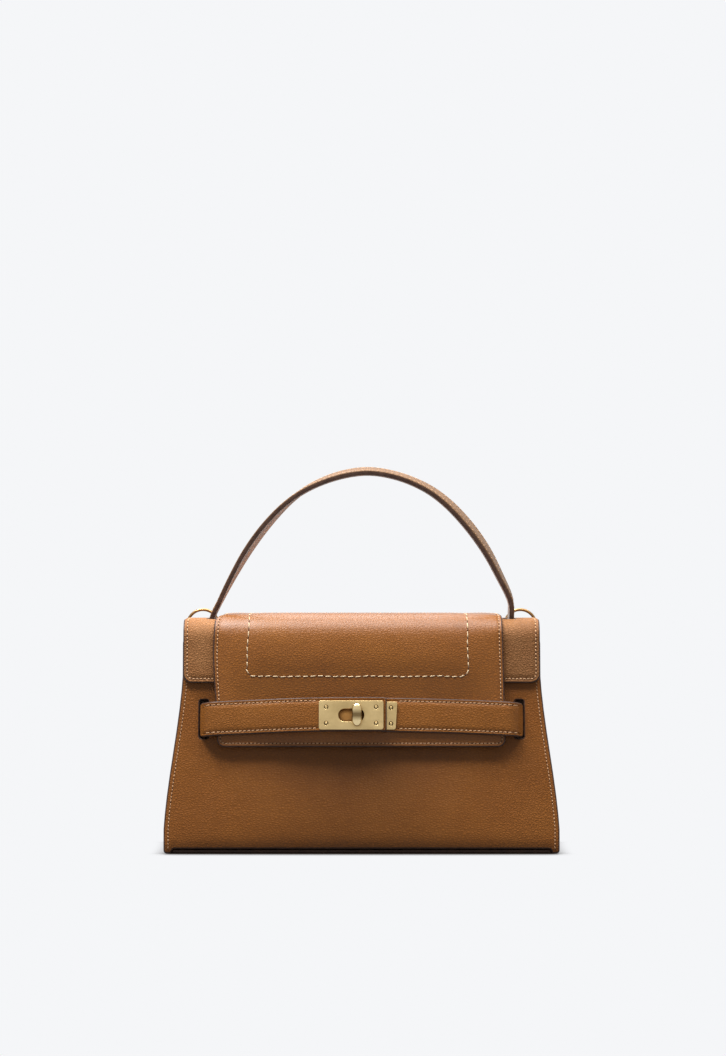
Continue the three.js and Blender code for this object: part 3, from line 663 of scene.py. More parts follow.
# Body panels. The leather swells a little between its seams, and rolls in at the bottom edge.
FEET, FOOT_RUN, PANEL_RAISE, FOOT_CLEARANCE = 4.0, 1.2, 3.0, 0.5
PANEL_TOP_FRONT = (BODY_HEIGHT - FLAP_BEND) / COS
PANEL_TOP_BACK = (BODY_HEIGHT - 2 * GAP) / COS
PANEL_EDGE, SEAM_INSET = 0.75, 2.6
SWELL, SWELL_HALF, SWELL_TOP = 2.2, 108.0, 57.0
ROLL, ROLL_TOP = 1.7, 9.0
SLOT_HALF, SLOT_LOW, SLOT_HIGH = 2.5, 64.6, 86.1
FLARE_HEIGHTS = [FLARE_BOTTOM, 22, 32, 44, 56, 68, 80, 90, FLARE_TOP]
SEAM_START_Z, SEAM_TOP_GAP = 2.5, 3


def swell(u, v):
    """How far a panel stands proud below the flap, and how its bottom edge rolls under, in millimetres."""
    side = max(0.0, 1 - (u / SWELL_HALF) ** 2)
    full = SWELL * side * sin(pi * clamp(v / SWELL_TOP) ** 0.75)
    return full - ROLL * max(0.0, 1 - v / ROLL_TOP) ** 2


def front_skin(u, v, w):
    return on_front(u, v, w - PANEL + swell(u, v))


def back_skin(u, v, w):
    return on_back(u, v, w - PANEL + swell(u, v))


def panel_loop(top):
    """The outline of a panel: flared sides, small feet, and a raised bottom edge between them."""
    foot = BASE_HALF - FEET
    corners = [(-BASE_HALF, FOOT_CLEARANCE, 1.6), (-foot, FOOT_CLEARANCE, 1.2)]
    corners += [(-foot + FOOT_RUN, PANEL_RAISE, 1.0), (foot - FOOT_RUN, PANEL_RAISE, 1.0)]
    corners += [(foot, FOOT_CLEARANCE, 1.2), (BASE_HALF, FOOT_CLEARANCE, 1.6)]
    corners += [(half_width(z), z / COS, 0) for z in FLARE_HEIGHTS]
    corners += [(TOP_HALF, top, 2.0), (-TOP_HALF, top, 2.0)]
    corners += [(-half_width(z), z / COS, 0) for z in reversed(FLARE_HEIGHTS)]
    return outline(corners)


def side_rows(top, skin):
    """Seam paths up both sides of a panel."""
    heights = [SEAM_START_Z] + FLARE_HEIGHTS + [top - SEAM_TOP_GAP]
    rows = []
    for s in (-1, 1):
        path = [Vector((s * (half_width(z) - SEAM_INSET), z / COS)) for z in heights]
        rows.append((path, False, skin, PANEL))
    return rows


slot_holes = [
    rectangle(s * SLOT_X - SLOT_HALF, s * SLOT_X + SLOT_HALF, SLOT_LOW, SLOT_HIGH, 1.2, 1.0) for s in (-1, 1)
]
front = sheet("front_leather", [panel_loop(PANEL_TOP_FRONT)] + slot_holes, front_skin, PANEL,
              [TAN_PANEL_SHADED, EDGE, BACK], PANEL_EDGE, step=3.6)
dress(front, "bag_body", ["front_panel"])
back = sheet("back_leather", [panel_loop(PANEL_TOP_BACK)], back_skin, PANEL, SKIN, PANEL_EDGE, step=4.2)
dress(back, "bag_body", ["back_panel"])
seams = side_rows(PANEL_TOP_FRONT, front_skin) + side_rows(PANEL_TOP_BACK, back_skin)
dress(stitches("body_stitches", seams, PINK_SEWING, 2.0, 1.45, 0.23), "bag_body")

# Base, gussets and lining between the panels.
BASE_T, SIDE_INSET = 2.4, 3.0
GUSSET, GUSSET_TOP, GUSSET_BOTTOM, FOLD_TOP = 1.6, 116.0, 2.7, 14.0
GUSSET_COLUMNS, GUSSET_ROWS, HEM, HEM_PARTS = 40, 36, 2.4, 60
GUSSET_INSET, GUSSET_BITE, GUSSET_BELLY = 4.0, 0.05, 0.5
CREASE_TOP, CREASE_GAIN = 1.2, 2.5


def base_skin(u, v, w):
    return Vector((u, v, w))


base_half, base_deep = BASE_HALF - SIDE_INSET, face_depth(BASE_T, -PANEL) - GAP
base_loop = rectangle(-base_half, base_half, -base_deep, base_deep, 3.0)
base = sheet("base_leather", [base_loop], base_skin, BASE_T, [BACK, EDGE, TAN], 0.8, step=5.0)
dress(base, "bag_body", ["base_panel"])


def gusset_depth(z):
    """Half the gusset's width: it reaches the panels' inner faces, where it is sewn."""
    return face_depth(z, -PANEL) + swell(half_width(z) - GUSSET_INSET, z) + GUSSET_BITE


def gusset_inside(z, y):
    """How far out the gusset's inner side lies at height z, folded in towards y = 0."""
    fold = FOLD_TOP * max(0.0, (z - GUSSET_BOTTOM) / (GUSSET_TOP - GUSSET_BOTTOM))
    crease = CREASE_TOP + CREASE_GAIN * (1 - z / GUSSET_TOP)
    reach = (hypot(y, crease) - crease) / (hypot(gusset_depth(z), crease) - crease)
    return half_width(z) - SIDE_INSET - GUSSET - fold * (1 - min(1.0, reach))


def make_gusset(side, word):
    def skin(u, v, w):
        y = u * gusset_depth(v)
        belly = GUSSET_BELLY * sin(pi * clamp(v / GUSSET_TOP)) * (1 - u * u)
        return Vector((side * (gusset_inside(v, y) + w - belly), y, v))

    def hem_place(u, v, w):
        return skin(u / gusset_depth(v), v, w)

    bm = bmesh.new()
    rims = []
    shares = [-1 + 2 * i / GUSSET_COLUMNS for i in range(GUSSET_COLUMNS + 1)]
    for w, index in ((0.0, 2), (GUSSET, 0)):
        layer = []
        for j in range(GUSSET_ROWS + 1):
            z = GUSSET_BOTTOM + (GUSSET_TOP - GUSSET_BOTTOM) * j / GUSSET_ROWS
            layer.append(verts(bm, [skin(share, z, w) for share in shares]))
        bridge_all(bm, layer, index, closed=False)
        rim = layer[0][:-1] + [row[-1] for row in layer[:-1]]
        rims.append(rim + layer[-1][:0:-1] + [row[0] for row in layer[:0:-1]])
    bridge(bm, *rims, 1)
    gusset = finish_mesh(word + "_gusset_leather", bm, SKIN)
    dress(gusset, "bag_body", [word + "_gusset"])
    reach = gusset_depth(GUSSET_TOP - HEM) - 1.0
    hem = [Vector((-reach + 2 * reach * i / HEM_PARTS, GUSSET_TOP - HEM)) for i in range(HEM_PARTS + 1)]
    sewing = stitches(word + "_gusset_stitches", [(hem, False, hem_place, GUSSET - 0.05)], PINK_SEWING)
    dress(sewing, "bag_body")


for side, word in SIDES:
    make_gusset(side, word)

# Lining: a sewn cloth bag that follows the walls and sags a little between its seams.
LINING_T, LINING_TOP, LINING_FLOOR, LINING_SAG = 0.9, 117.0, 4.8, 0.8
LINING_SIDE, LINING_FOLD = 1.2, 1.6
ROUND, LEVELS = 132, 22
FRONT_SIDE, BACK_SIDE = 0, 3


def lining_ring(z, t):
    """A point of the lining's outer side at height z, t from 0 to 1 round the bag."""
    depth = face_depth(z, -PANEL - BOARD_T - 2 * GAP) - GAP
    limit = min(z, GUSSET_TOP)
    side = gusset_inside(limit, depth) - LINING_SIDE
    fold = gusset_inside(limit, 0) - LINING_FOLD
    corners = [(-side, -depth), (side, -depth), (fold, 0), (side, depth), (-side, depth), (-fold, 0)]
    points, marks = walk([Vector(c) for c in corners], True)
    s = t * marks[-1]
    i = max(k for k in range(len(corners)) if marks[k] <= s + 1e-9)
    share = (s - marks[i]) / (marks[i + 1] - marks[i])
    p = points[i].lerp(points[i + 1], share)
    if i in (FRONT_SIDE, BACK_SIDE):
        sag = LINING_SAG * sin(pi * clamp((z - LINING_FLOOR) / (LINING_TOP - LINING_FLOOR)))
        wave = sag * sin(pi * share) * (1 + 0.3 * sin(5 * pi * share + i))
        p.y -= copysign(max(0.0, wave), p.y)
    return p


bm = bmesh.new()
rims = []
for wall in (0.0, LINING_T):
    shell = []
    for j in range(LEVELS + 1):
        z = LINING_FLOOR + wall + (LINING_TOP - LINING_FLOOR - wall) * j / LEVELS
        ring = [lining_ring(z, k / ROUND) for k in range(ROUND)]
        ring = [p * (1 - wall / max(8.0, p.length)) for p in ring]
        shell.append(verts(bm, [Vector((p.x, p.y, z)) for p in ring]))
    bridge_all(bm, shell)
    bridge(bm, shell[0], verts(bm, [Vector((0, 0, LINING_FLOOR + wall))]))
    rims.append(shell[-1])
bridge(bm, *rims)
lining = finish_mesh("lining_cloth", bm, [LINING])
dress(lining, "bag_body", ["lining_bag"])

POCKET_T, POCKET_HALF, POCKET_LOW, POCKET_HIGH = 1.0, 60, 22, 92
POCKET_BELLY, BELLY_WIDE, BELLY_LOW, BELLY_TALL = 0.7, 124, 20, 78
POCKET_SEAM, POCKET_HEM, HEM_END = 2.2, 8, 3
POCKET_W = -PANEL - BOARD_T - 4 * GAP - LINING_T - 1.6
POCKET_SEWN = POCKET_T - 0.05


def pocket_skin(u, v, w):
    rise = min(1.0, (v - BELLY_LOW) / BELLY_TALL)
    belly = POCKET_BELLY * cos(pi * u / BELLY_WIDE) * sin(pi * rise)
    return on_back(u, v, POCKET_W - belly + (POCKET_T - w))


pocket_loop = rectangle(-POCKET_HALF, POCKET_HALF, POCKET_LOW, POCKET_HIGH, 3.0, 2.5)
pocket = sheet("pocket_cloth", [pocket_loop], pocket_skin, POCKET_T, [LINING] * 3, 0.3, 3.0, step=5.0)
dress(pocket, "bag_body", ["slip_pocket"])
hem_ends = HEM_END - POCKET_HALF, POCKET_HALF - HEM_END
pocket_hem = [Vector((x, POCKET_HIGH - POCKET_HEM)) for x in hem_ends]
pocket_rows = [(inset(pocket_loop, POCKET_SEAM), True, pocket_skin, POCKET_SEWN)]
pocket_rows.append((pocket_hem, False, pocket_skin, POCKET_SEWN))
pocket_sewing = stitches("pocket_stitches", pocket_rows, PALE_SEWING, 3.0, 2.2, 0.2)
dress(pocket_sewing, "bag_body")


# Flap: a wide under-flap in one skin with the back yoke, and the flap leather over it.
BEND_Z = BODY_HEIGHT - FLAP_BEND
BEND_Y = -face_depth(BEND_Z, GAP - FLAP_BEND)
BEND_V = (BEND_Y + BASE_DEPTH / 2) * SIN + BEND_Z * COS
TURN = pi / 2 - LEAN
BACK_BEND, BACK_LIFT, YOKE_DROP = 1.6, 0.4, 33.0
SEWN = 0.16


def wrap(v0, lift, back_radius=None):
    """A place function for a skin that runs up the front from v0, over the top, and down the back.
    lift is the skin's inside over the front leather. Without a back radius it ends flat on top.
    Also gives how far along the skin each bend starts and ends."""
    radius = FLAP_BEND + lift - GAP
    top_z = BEND_Z + radius
    run = BEND_V - v0
    marks = [run, run + radius * TURN]
    if back_radius:
        back_z = top_z - back_radius
        back_y = face_depth(back_z, BACK_LIFT - back_radius)
        back_v = (BASE_DEPTH / 2 - back_y) * SIN + back_z * COS
        marks += [marks[1] + back_y - BEND_Y, marks[1] + back_y - BEND_Y + back_radius * TURN]

    def place(u, s, w):
        if s <= marks[0]:
            return on_front(u, v0 + s, lift + w)
        if s <= marks[1]:
            turn = (s - marks[0]) / radius + LEAN
            reach = radius + w
            return Vector((u, BEND_Y - reach * cos(turn), BEND_Z + reach * sin(turn)))
        if not back_radius or s <= marks[2]:
            return Vector((u, BEND_Y + s - marks[1], top_z + w))
        if s <= marks[3]:
            turn = (s - marks[2]) / back_radius
            reach = back_radius + w
            return Vector((u, back_y + reach * sin(turn), back_z + reach * cos(turn)))
        return on_back(u, back_v - (s - marks[3]), BACK_LIFT + w)

    return place, marks


HANDLE_SLOT = 80.65, 87.15
HANDLE_SLOT_HALF, WING_SEAM = 11.6, 2.3
wing_skin, wing_marks = wrap(WING_V, GAP, BACK_BEND)
wing_end = wing_marks[3] + YOKE_DROP
slot_mid = wing_marks[1] - BEND_Y
wing_low = [(-WING_HALF, 0, 5), (WING_HALF, 0, 5)]
wing_loop = outline(wing_low + [(WING_HALF, wing_end, 3), (-WING_HALF, wing_end, 3)], 1.8)
slot_span = slot_mid - HANDLE_SLOT_HALF, slot_mid + HANDLE_SLOT_HALF
handle_holes = [rectangle(*sorted(s * x for x in HANDLE_SLOT), *slot_span, 1.0, 1.4) for s in (-1, 1)]
wings = sheet("wing_leather", [wing_loop] + handle_holes, wing_skin, WING, [TAN_WORN_SHADED, EDGE, BACK],
              0.7, WING_SEAM, step=2.6)
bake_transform(wings)
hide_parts("flap_wings", "back_yoke")
wing_rows = [(inset(wing_loop, WING_SEAM), True, wing_skin, WING - SEWN)]
wing_sewing = stitches("wing_stitches", wing_rows, PINK_SEWING, 2.1, 1.5, 0.3)
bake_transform(wing_sewing)

# The flap leather's crown, its fullness between sewn lines, its sunk edge and its taper. Its left edge
# flares downwards, and stands out further up to the bend, as the photograph shows.
cover_wrap, cover_marks = wrap(COVER_V, COVER_INNER)
cover_end = cover_marks[1] + HINGE_Y - 1 - BEND_Y
COVER_SEAM, POST_HOLE = 2.0, 2.6
U_LEFT, U_RIGHT, U_LOW, U_TOP = -63.8, 59.9, 98.6 - COVER_V, cover_end - 6
CROWN, CROWN_LOW, CROWN_SIDE = 3.0, 25.0, 26.0
CROWN_HIGH = cover_marks[1] + 4
FULLNESS, FULL_REACH = 0.28, 9.0
EDGE_SINK, SINK_REACH = 0.28, 5.0
WIDTH_LOW, TAPER, TAPER_END = 1.006, 0.02, 75.0
COVER_FLARE, FLARE_END = 2.4, 72.0
SIDE_LOW, SIDE_HIGH, SIDE_RISE = -2.1, 3.5, 60.0
SIDE_FADE = sum(cover_marks[:2]) / 2, cover_marks[1] + 2


def cover_skin(u, s, w):
    """The flap leather: u runs across it, s up its front and back over the top, w out of it."""
    margin = COVER_HALF - abs(u)
    near = min(abs(u - U_LEFT), abs(u - U_RIGHT), abs(s - U_LOW) if U_LEFT < u < U_RIGHT else 99.0)
    full = FULLNESS * min(1.0, near / FULL_REACH) ** 0.7 * min(1.0, margin / FULL_REACH, s / FULL_REACH)
    rise = sin(pi * clamp((s - CROWN_LOW) / (CROWN_HIGH - CROWN_LOW))) ** 1.3
    puff = CROWN * rise * ease(max(0.0, margin - 1.5) / CROWN_SIDE) ** 0.6
    puff -= EDGE_SINK * max(0.0, 1 - margin / SINK_REACH)
    flare = COVER_FLARE * max(0.0, 1 - s / FLARE_END) * min(0.0, u / COVER_HALF)
    side = SIDE_LOW + (SIDE_HIGH - SIDE_LOW) * ease(s / SIDE_RISE)
    side *= 1 - ease((s - SIDE_FADE[0]) / (SIDE_FADE[1] - SIDE_FADE[0]))
    side *= min(0.0, (u - U_LEFT) / (COVER_HALF + U_LEFT))
    across = u * (WIDTH_LOW - TAPER * min(1.0, s / TAPER_END)) + flare + side
    return cover_wrap(across, s, w + puff + max(0.0, full) * min(1.0, w / COVER))


cover_low = [(-COVER_HALF, 0, 4.5), (COVER_HALF, 0, 4.5)]
cover_loop = outline(cover_low + [(COVER_HALF, cover_end, 3), (-COVER_HALF, cover_end, 3)], 1.8)
post_hole = circle(KNOB_X, LOCK_V - COVER_V, POST_HOLE)
cover = sheet("flap_leather", [cover_loop, post_hole], cover_skin, COVER, [TAN_FLAP, EDGE, BACK],
              PANEL_EDGE, COVER_SEAM, step=2.6)
dress(cover, "flap", ["flap_cover"])
cover_rows = [(inset(cover_loop, COVER_SEAM), True, cover_skin, COVER - SEWN)]
dress(stitches("flap_edge_stitches", cover_rows, PINK_SEWING, 2.1, 1.5, 0.29), "flap")


def unsteady(p):
    """Moves a point of the pale sewing a little, as it is sewn by hand."""
    return p + Vector((0.16 * sin(0.31 * p.y), 0.16 * sin(0.19 * p.x) + 0.1 * sin(0.47 * p.x)))


# The pale U is a closed outline cut open along its top.
u_path = outline([(U_LEFT, U_TOP, 0), (U_LEFT, U_LOW, 4.5), (U_RIGHT, U_LOW, 4.5), (U_RIGHT, U_TOP, 0)], 1.5)
u_path = [p for p in u_path if p.y < U_TOP - 0.2 or min(p.x - U_LEFT, U_RIGHT - p.x) < 0.01]
start = max(range(len(u_path)), key=lambda i: (u_path[i].y, -u_path[i].x))
u_path = [unsteady(p) for p in u_path[start:] + u_path[:start]]
u_rows = [(u_path, False, cover_skin, COVER + 0.05)]
u_sewing = stitches("flap_show_stitches", u_rows, PALE_SEWING, 4.1, 3.1, 0.27, 5)
dress(u_sewing, "flap")


def flap_inside(u, v, w):
    return on_front(u, v, WING_OUTER - w)


MAGNET_X, MAGNET_V, MAGNET_HOLE, WASHER_HOLE = 32, 70, 6.3, 6.4
INNER_HALF, INNER_LOW, INNER_HIGH = 78, 61.3, 95.2
inner_loop = rectangle(-INNER_HALF, INNER_HALF, INNER_LOW, INNER_HIGH, 2.5, 2.5)
inner_holes = [circle(KNOB_X, LOCK_V, WASHER_HOLE, 20)]
inner_holes += [circle(s * MAGNET_X, MAGNET_V, MAGNET_HOLE, 20) for s in (-1, 1)]
inner = sheet("flap_lining_leather", [inner_loop] + inner_holes, flap_inside, WING, [BACK, EDGE, BACK],
              0.5, 2.0, step=4.0)
dress(inner, "flap", ["flap_lining"])


# Belts: each leaves its slot in a short curve and lies over the flap to the lock.
DIP_START, BELT_END, DIP_DEPTH = 80.5, 89.0, 7.0
LAP_START, LAP_RUN = -66.0, 38.0
BELT_CROWN, BELT_SEAM = 0.25, 1.9
LEFT_TIP, RIGHT_TIP = 14, 10
LEFT_SEWN, RIGHT_SEWN, ROW_PARTS = (-86, LOCK_X - 19.2), (20.8, 86), 60
# Half width, half height and corner radius of the openings at the lock, and of its foot.
BELT_WINDOW, PLATE_SLOT = (7.4, 3.85, 3.6), (7.15, 3.6, 3.5)
LINER_OUTSIDE, LINER_INSIDE, LOCK_FOOT = (7.35, 3.8, 3.7), (7.05, 3.5, 3.4), (9.5, 5, 4.9)


def belt_dip(x):
    """How far the belt drops below its level on the flap as it nears the slot."""
    past = max(0.0, abs(x) - DIP_START) / (BELT_END - DIP_START)
    return DIP_DEPTH * past ** 2.4


def left_level(x):
    rise = (LAP_INNER - BELT_INNER) * ease((x - LAP_START) / LAP_RUN)
    return BELT_INNER + rise - belt_dip(x)


def right_level(x):
    return BELT_INNER - belt_dip(x)


def belt_place(level):
    def place(x, v, w):
        slope = (level(x + 0.05) - level(x - 0.05)) / 0.1
        tilt = hypot(1, slope)
        rise = (BELT_RISE + BELT_LIFT) * max(0.0, 1 - (x / SLOT_X) ** 2)
        reach = w + BELT_CROWN * (1 - (v / BELT_HALF) ** 2) * min(1.0, w / BELT)
        return on_front(x - reach * slope / tilt, SLOT_V + rise + v, level(x) + reach / tilt)

    return place


def lock_box(half_x, half_v, radius, step, v=LOCK_V):
    return rectangle(LOCK_X - half_x, LOCK_X + half_x, v - half_v, v + half_v, radius, step)


def belt_loop(x0, x1):
    return rectangle(x0, x1, -BELT_HALF, BELT_HALF, 1.6, 1.6)


def belt_row(x0, x1, v):
    return [Vector((x0 + (x1 - x0) * k / ROW_PARTS, v)) for k in range(ROW_PARTS + 1)]


left_place, right_place = belt_place(left_level), belt_place(right_level)
window = lock_box(*BELT_WINDOW, 1.0, -BELT_LIFT)
for node, loops, place in (
    ("left_belt", [belt_loop(-BELT_END, LEFT_TIP), window], left_place),
    ("right_belt", [belt_loop(RIGHT_TIP, BELT_END)], right_place),
):
    belt = sheet(node + "_leather", loops, place, BELT, SKIN, 0.7, BELT_SEAM, step=2.4)
    dress(belt, "flap", [node])
sewn = BELT_HALF - BELT_SEAM
belt_rows = []
for run, place in ((LEFT_SEWN, left_place), (RIGHT_SEWN, right_place)):
    belt_rows += [(belt_row(*run, v), False, place, BELT - SEWN) for v in (-sewn, sewn)]
dress(stitches("belt_stitches", belt_rows, PINK_SEWING, 2.4, 1.8, 0.24), "flap")

# Lock: brass plate, tongue, rivets, post and turn knob.
RIVET_X, RIVET_V, TONGUE_RIVET_X, RIVET_HOLE = 13.9, 4.5, 16.4, 1.2
RIVET_SHANK, RIVET_RIM, RIVET_HEAD, SHADE_RING_FROM = 0.85, 1.16, 0.82, 0.8
PLATE_X, PLATE_HALF = 18, 8.1
TONGUE_START, TONGUE_END, TONGUE_HALF, TONGUE_SLANT = -15.5, 20.0, 7.8, 1.0


def lifted(level):
    """A place function for a flat piece whose inside lies at a level over the front leather."""

    def place(x, v, w):
        return on_front(x, v, level + w)

    return place


def brass_plate(name, x0, x1, half, inner, rivets, replaced, slant=0.0):
    low, high = LOCK_V - half, LOCK_V + half
    loop = outline([(x0, low, 1.2), (x1 - slant, low, 1.2), (x1, high, 1.2), (x0, high, 1.2)], 1.5)
    holes = [lock_box(*PLATE_SLOT, 0.8)] + [circle(x, v, RIVET_HOLE, 20) for x, v in rivets]
    plate = sheet(name, [loop] + holes, lifted(inner), BRASS_T, [BRASS, BRASS_BRIGHT, BRASS], 0.22, step=3.0)
    return dress(plate, "flap", [replaced])


def rivet(node, x, v, base, top):
    """A small rivet, peened nearly flush, with a dark ring of painted shade in the gap where it meets the
    plate.
    """
    profile = [(0, base), (RIVET_SHANK, base), (RIVET_SHANK, top - 0.35)]
    profile += [(RIVET_RIM, top - 0.3), (RIVET_RIM, top - 0.08)]
    profile += [(RIVET_HEAD, top - 0.14), (RIVET_HEAD, top - 0.02)]
    profile += [(0.72, top + 0.07), (0.4, top + 0.13), (0, top + 0.14)]

    def place(dx, dv, w):
        return on_front(x + dx, v + dv, w)

    head = lathe(node + "_head", profile, place, [BRASS, RIVET_GAP_SHADE], 24)
    # Faces away from the head's top centre take the painted shade of the gap.
    for face in head.data.polygons:
        far = max((head.data.vertices[i].co / MM - on_front(x, v, top)).length for i in face.vertices)
        face.material_index = 1 if far > SHADE_RING_FROM else 0
    return dress(head, "flap", [node])


plate_rivets = [(LOCK_X + dx, LOCK_V + dv) for dx in (-RIVET_X, RIVET_X) for dv in (-RIVET_V, RIVET_V)]
tongue_rivets = [(TONGUE_RIVET_X, LOCK_V + dv) for dv in (-RIVET_V, RIVET_V)]
brass_plate("lock_plate_brass", LOCK_X - PLATE_X, LOCK_X + PLATE_X, PLATE_HALF, PLATE_INNER,
            plate_rivets, "lock_plate")
brass_plate("tongue_brass", TONGUE_START, TONGUE_END, TONGUE_HALF, TONGUE_INNER,
            tongue_rivets, "belt_tongue", TONGUE_SLANT)
# The slot's lining and the lock's foot are in the shaded brass: painted shade.
shaded_brass_set = [BRASS_SHADED] * 3
liner_loops = [lock_box(*LINER_OUTSIDE, 0.8), lock_box(*LINER_INSIDE, 0.8)]
liner = sheet("lock_liner_brass", liner_loops, lifted(LAP_INNER + 0.1), 2.2, shaded_brass_set, 0.08, step=3.0)
dress(liner, "flap")
foot_loop = lock_box(*LOCK_FOOT, 1.0)
foot = sheet("lock_base_brass", [foot_loop], lifted(BELT_INNER), BRASS_T, shaded_brass_set, 0.25, step=3.0)
dress(foot, "flap", ["lock_post"])
for height, dv in (("upper", RIVET_V), ("lower", -RIVET_V)):
    for s, word in SIDES:
        node = f"plate_rivet_{height}_{word}"
        rivet(node, LOCK_X + s * RIVET_X, LOCK_V + dv, LAP_INNER + 0.5, PLATE_OUTER)
    node = f"tongue_rivet_{height}"
    rivet(node, TONGUE_RIVET_X, LOCK_V + dv, BELT_INNER + 0.5, TONGUE_INNER + BRASS_T)


def knob_place(x, y, h):
    return on_front(KNOB_X + x, LOCK_V + y, h)


post = [(0, BELT_INNER + 0.9), (2.4, BELT_INNER + 0.9), (2.4, BELT_INNER + 1.3), (2.0, BELT_INNER + 1.7)]
post += [(2.0, PLATE_OUTER - 1.3), (1.8, PLATE_OUTER - 1.0), (0, PLATE_OUTER - 1.0)]
dress(lathe("lock_post_brass", post, knob_place, [BRASS_BRIGHT]), "flap", ["lock_post"])

KNOB_HALF, KNOB_WIDE, KNOB_DEEP, KNOB_STEPS, KNOB_SIDES = 6.5, 2.75, 2.3, 30, 28
KNOB_NECK = [(0, 11.3), (2.0, 11.3), (2.0, 12.6), (1.75, 13.0), (1.75, 14.2), (0, 14.2)]


def squared(c):
    """A cosine or sine drawn out towards the corners, so that a round section is a little square."""
    return copysign(abs(c) ** 0.8, c)


def knob_mesh():
    """An upright bar with rounded ends, pinched at the waist, on a short neck."""
    bm = bmesh.new()
    rings = []
    for k in range(KNOB_STEPS + 1):
        y = KNOB_HALF * sin((-1 + 2 * k / KNOB_STEPS) * pi / 2)
        end = max(0.0, 1 - abs(y / KNOB_HALF) ** 4.0) ** 0.5
        wide = KNOB_WIDE * end * (1 - 0.05 * exp(-((y / 1.9) ** 2)))
        deep = KNOB_DEEP * end * (1 - 0.12 * exp(-((y / 2.2) ** 2)))
        spokes = turns(KNOB_SIDES) if 0 < k < KNOB_STEPS else [0]
        ring = [(wide * squared(cos(t)), KNOB_W + deep * squared(sin(t))) for t in spokes]
        rings.append(verts(bm, [knob_place(x, y, w) for x, w in ring]))
    bridge_all(bm, rings)
    spin(bm, KNOB_NECK, knob_place, KNOB_SIDES)
    return finish_mesh("turn_knob_brass", bm, [KNOB_BRASS])


dress(knob_mesh(), "knob", ["turn_knob"])

# Handle: two glued plies in one strap that stands as an arch, its painted edges to front and back.
HANDLE_X, HANDLE_T, HANDLE_HALF, HANDLE_SEAM = 84.7, 3.3, 7.5, 1.9
SEAM_START, SEAM_PARTS, STRAP_TRIM, LOOK = 12, 220, 0.5, 1.5
FOOT = [(HANDLE_X, 121.45), (HANDLE_X, 130)]
HANDLE_ARCH = [(-80, 140.3), (-72.3, 155.3), (-63.6, 170.1), (-52.8, 184.7), (-40.8, 197.1), (-29.2, 205.2)]
HANDLE_ARCH += [(-13.1, 211.7), (3.2, 214.2), (19.6, 211.7), (35.7, 205.2), (47.3, 197.1), (59.3, 184.7)]
HANDLE_ARCH += [(69.9, 170.1), (77.8, 155.3), (84.4, 140.3)]
ARCH = [Vector((-x, z)) for x, z in FOOT] + [Vector(p) for p in HANDLE_ARCH]
ARCH += [Vector((x, z)) for x, z in reversed(FOOT)]
HANDLE_LEAN, TWIST_LEFT, TWIST_RIGHT = radians(8), radians(-15), radians(-10)


def smooth_curve(points, parts=16):
    """A centripetal Catmull-Rom curve through the points."""
    ends = [points[0] * 2 - points[1]] + list(points) + [points[-1] * 2 - points[-2]]
    curve = []
    for i in range(1, len(ends) - 2):
        p0, p1, p2, p3 = ends[i - 1 : i + 3]
        d0, d1, d2 = (sqrt((b - a).length) for a, b in ((p0, p1), (p1, p2), (p2, p3)))
        t1 = ((p1 - p0) / d0 - (p2 - p0) / (d0 + d1) + (p2 - p1) / d1) * d1
        t2 = ((p2 - p1) / d1 - (p3 - p1) / (d1 + d2) + (p3 - p2) / d2) * d1
        for k in range(parts):
            s = k / parts
            c2 = (p2 - p1) * 3 - t1 * 2 - t2
            c3 = (p1 - p2) * 2 + t1 + t2
            curve.append(p1 + t1 * s + c2 * (s * s) + c3 * (s * s * s))
    curve.append(ends[-2])
    return curve


arch_points, arch_marks = walk(smooth_curve(ARCH))
ARCH_LENGTH = arch_marks[-1]


def handle_place(s, v, w):
    """s runs along the strap, v across it from front to back, w out from its inner side."""
    p, _ = at_distance(arch_points, arch_marks, s)
    ahead, _ = at_distance(arch_points, arch_marks, min(ARCH_LENGTH, s + LOOK))
    behind, _ = at_distance(arch_points, arch_marks, max(0.0, s - LOOK))
    along = (ahead - behind).normalized()
    out = Vector((-along.y, 0, along.x))
    twist = TWIST_LEFT if s < ARCH_LENGTH / 2 else TWIST_RIGHT
    turn = twist * sin(2 * pi * s / ARCH_LENGTH) ** 2
    wide = Vector((-sin(turn), cos(turn), 0))
    here = Vector((p.x, 0, p.y)) + out * (w - HANDLE_T / 2) + wide * v
    y, z = here.y, here.z - TOGGLE_Z
    c, n = cos(HANDLE_LEAN), sin(HANDLE_LEAN)
    return Vector((here.x, y * c - z * n, TOGGLE_Z + y * n + z * c))


strap_loop = rectangle(STRAP_TRIM, ARCH_LENGTH - STRAP_TRIM, -HANDLE_HALF, HANDLE_HALF, 1.0, 2.0)
strap = sheet("handle_leather", [strap_loop], handle_place, HANDLE_T, [STRAP, STRAP_EDGE, STRAP_LINING],
              0.6, HANDLE_SEAM, step=3.0, bare=True)
dress(strap, "handle", ["handle_outer", "handle_inner"])
seam_run = [SEAM_START + (ARCH_LENGTH - 2 * SEAM_START) * k / SEAM_PARTS for k in range(SEAM_PARTS + 1)]
strap_rows = []
for v in (-HANDLE_HALF + HANDLE_SEAM, HANDLE_HALF - HANDLE_SEAM):
    strap_rows.append(([Vector((s, v)) for s in seam_run], False, handle_place, HANDLE_T - SEWN))
dress(stitches("handle_stitches", strap_rows, PINK_SEWING, 2.7, 1.9), "handle")

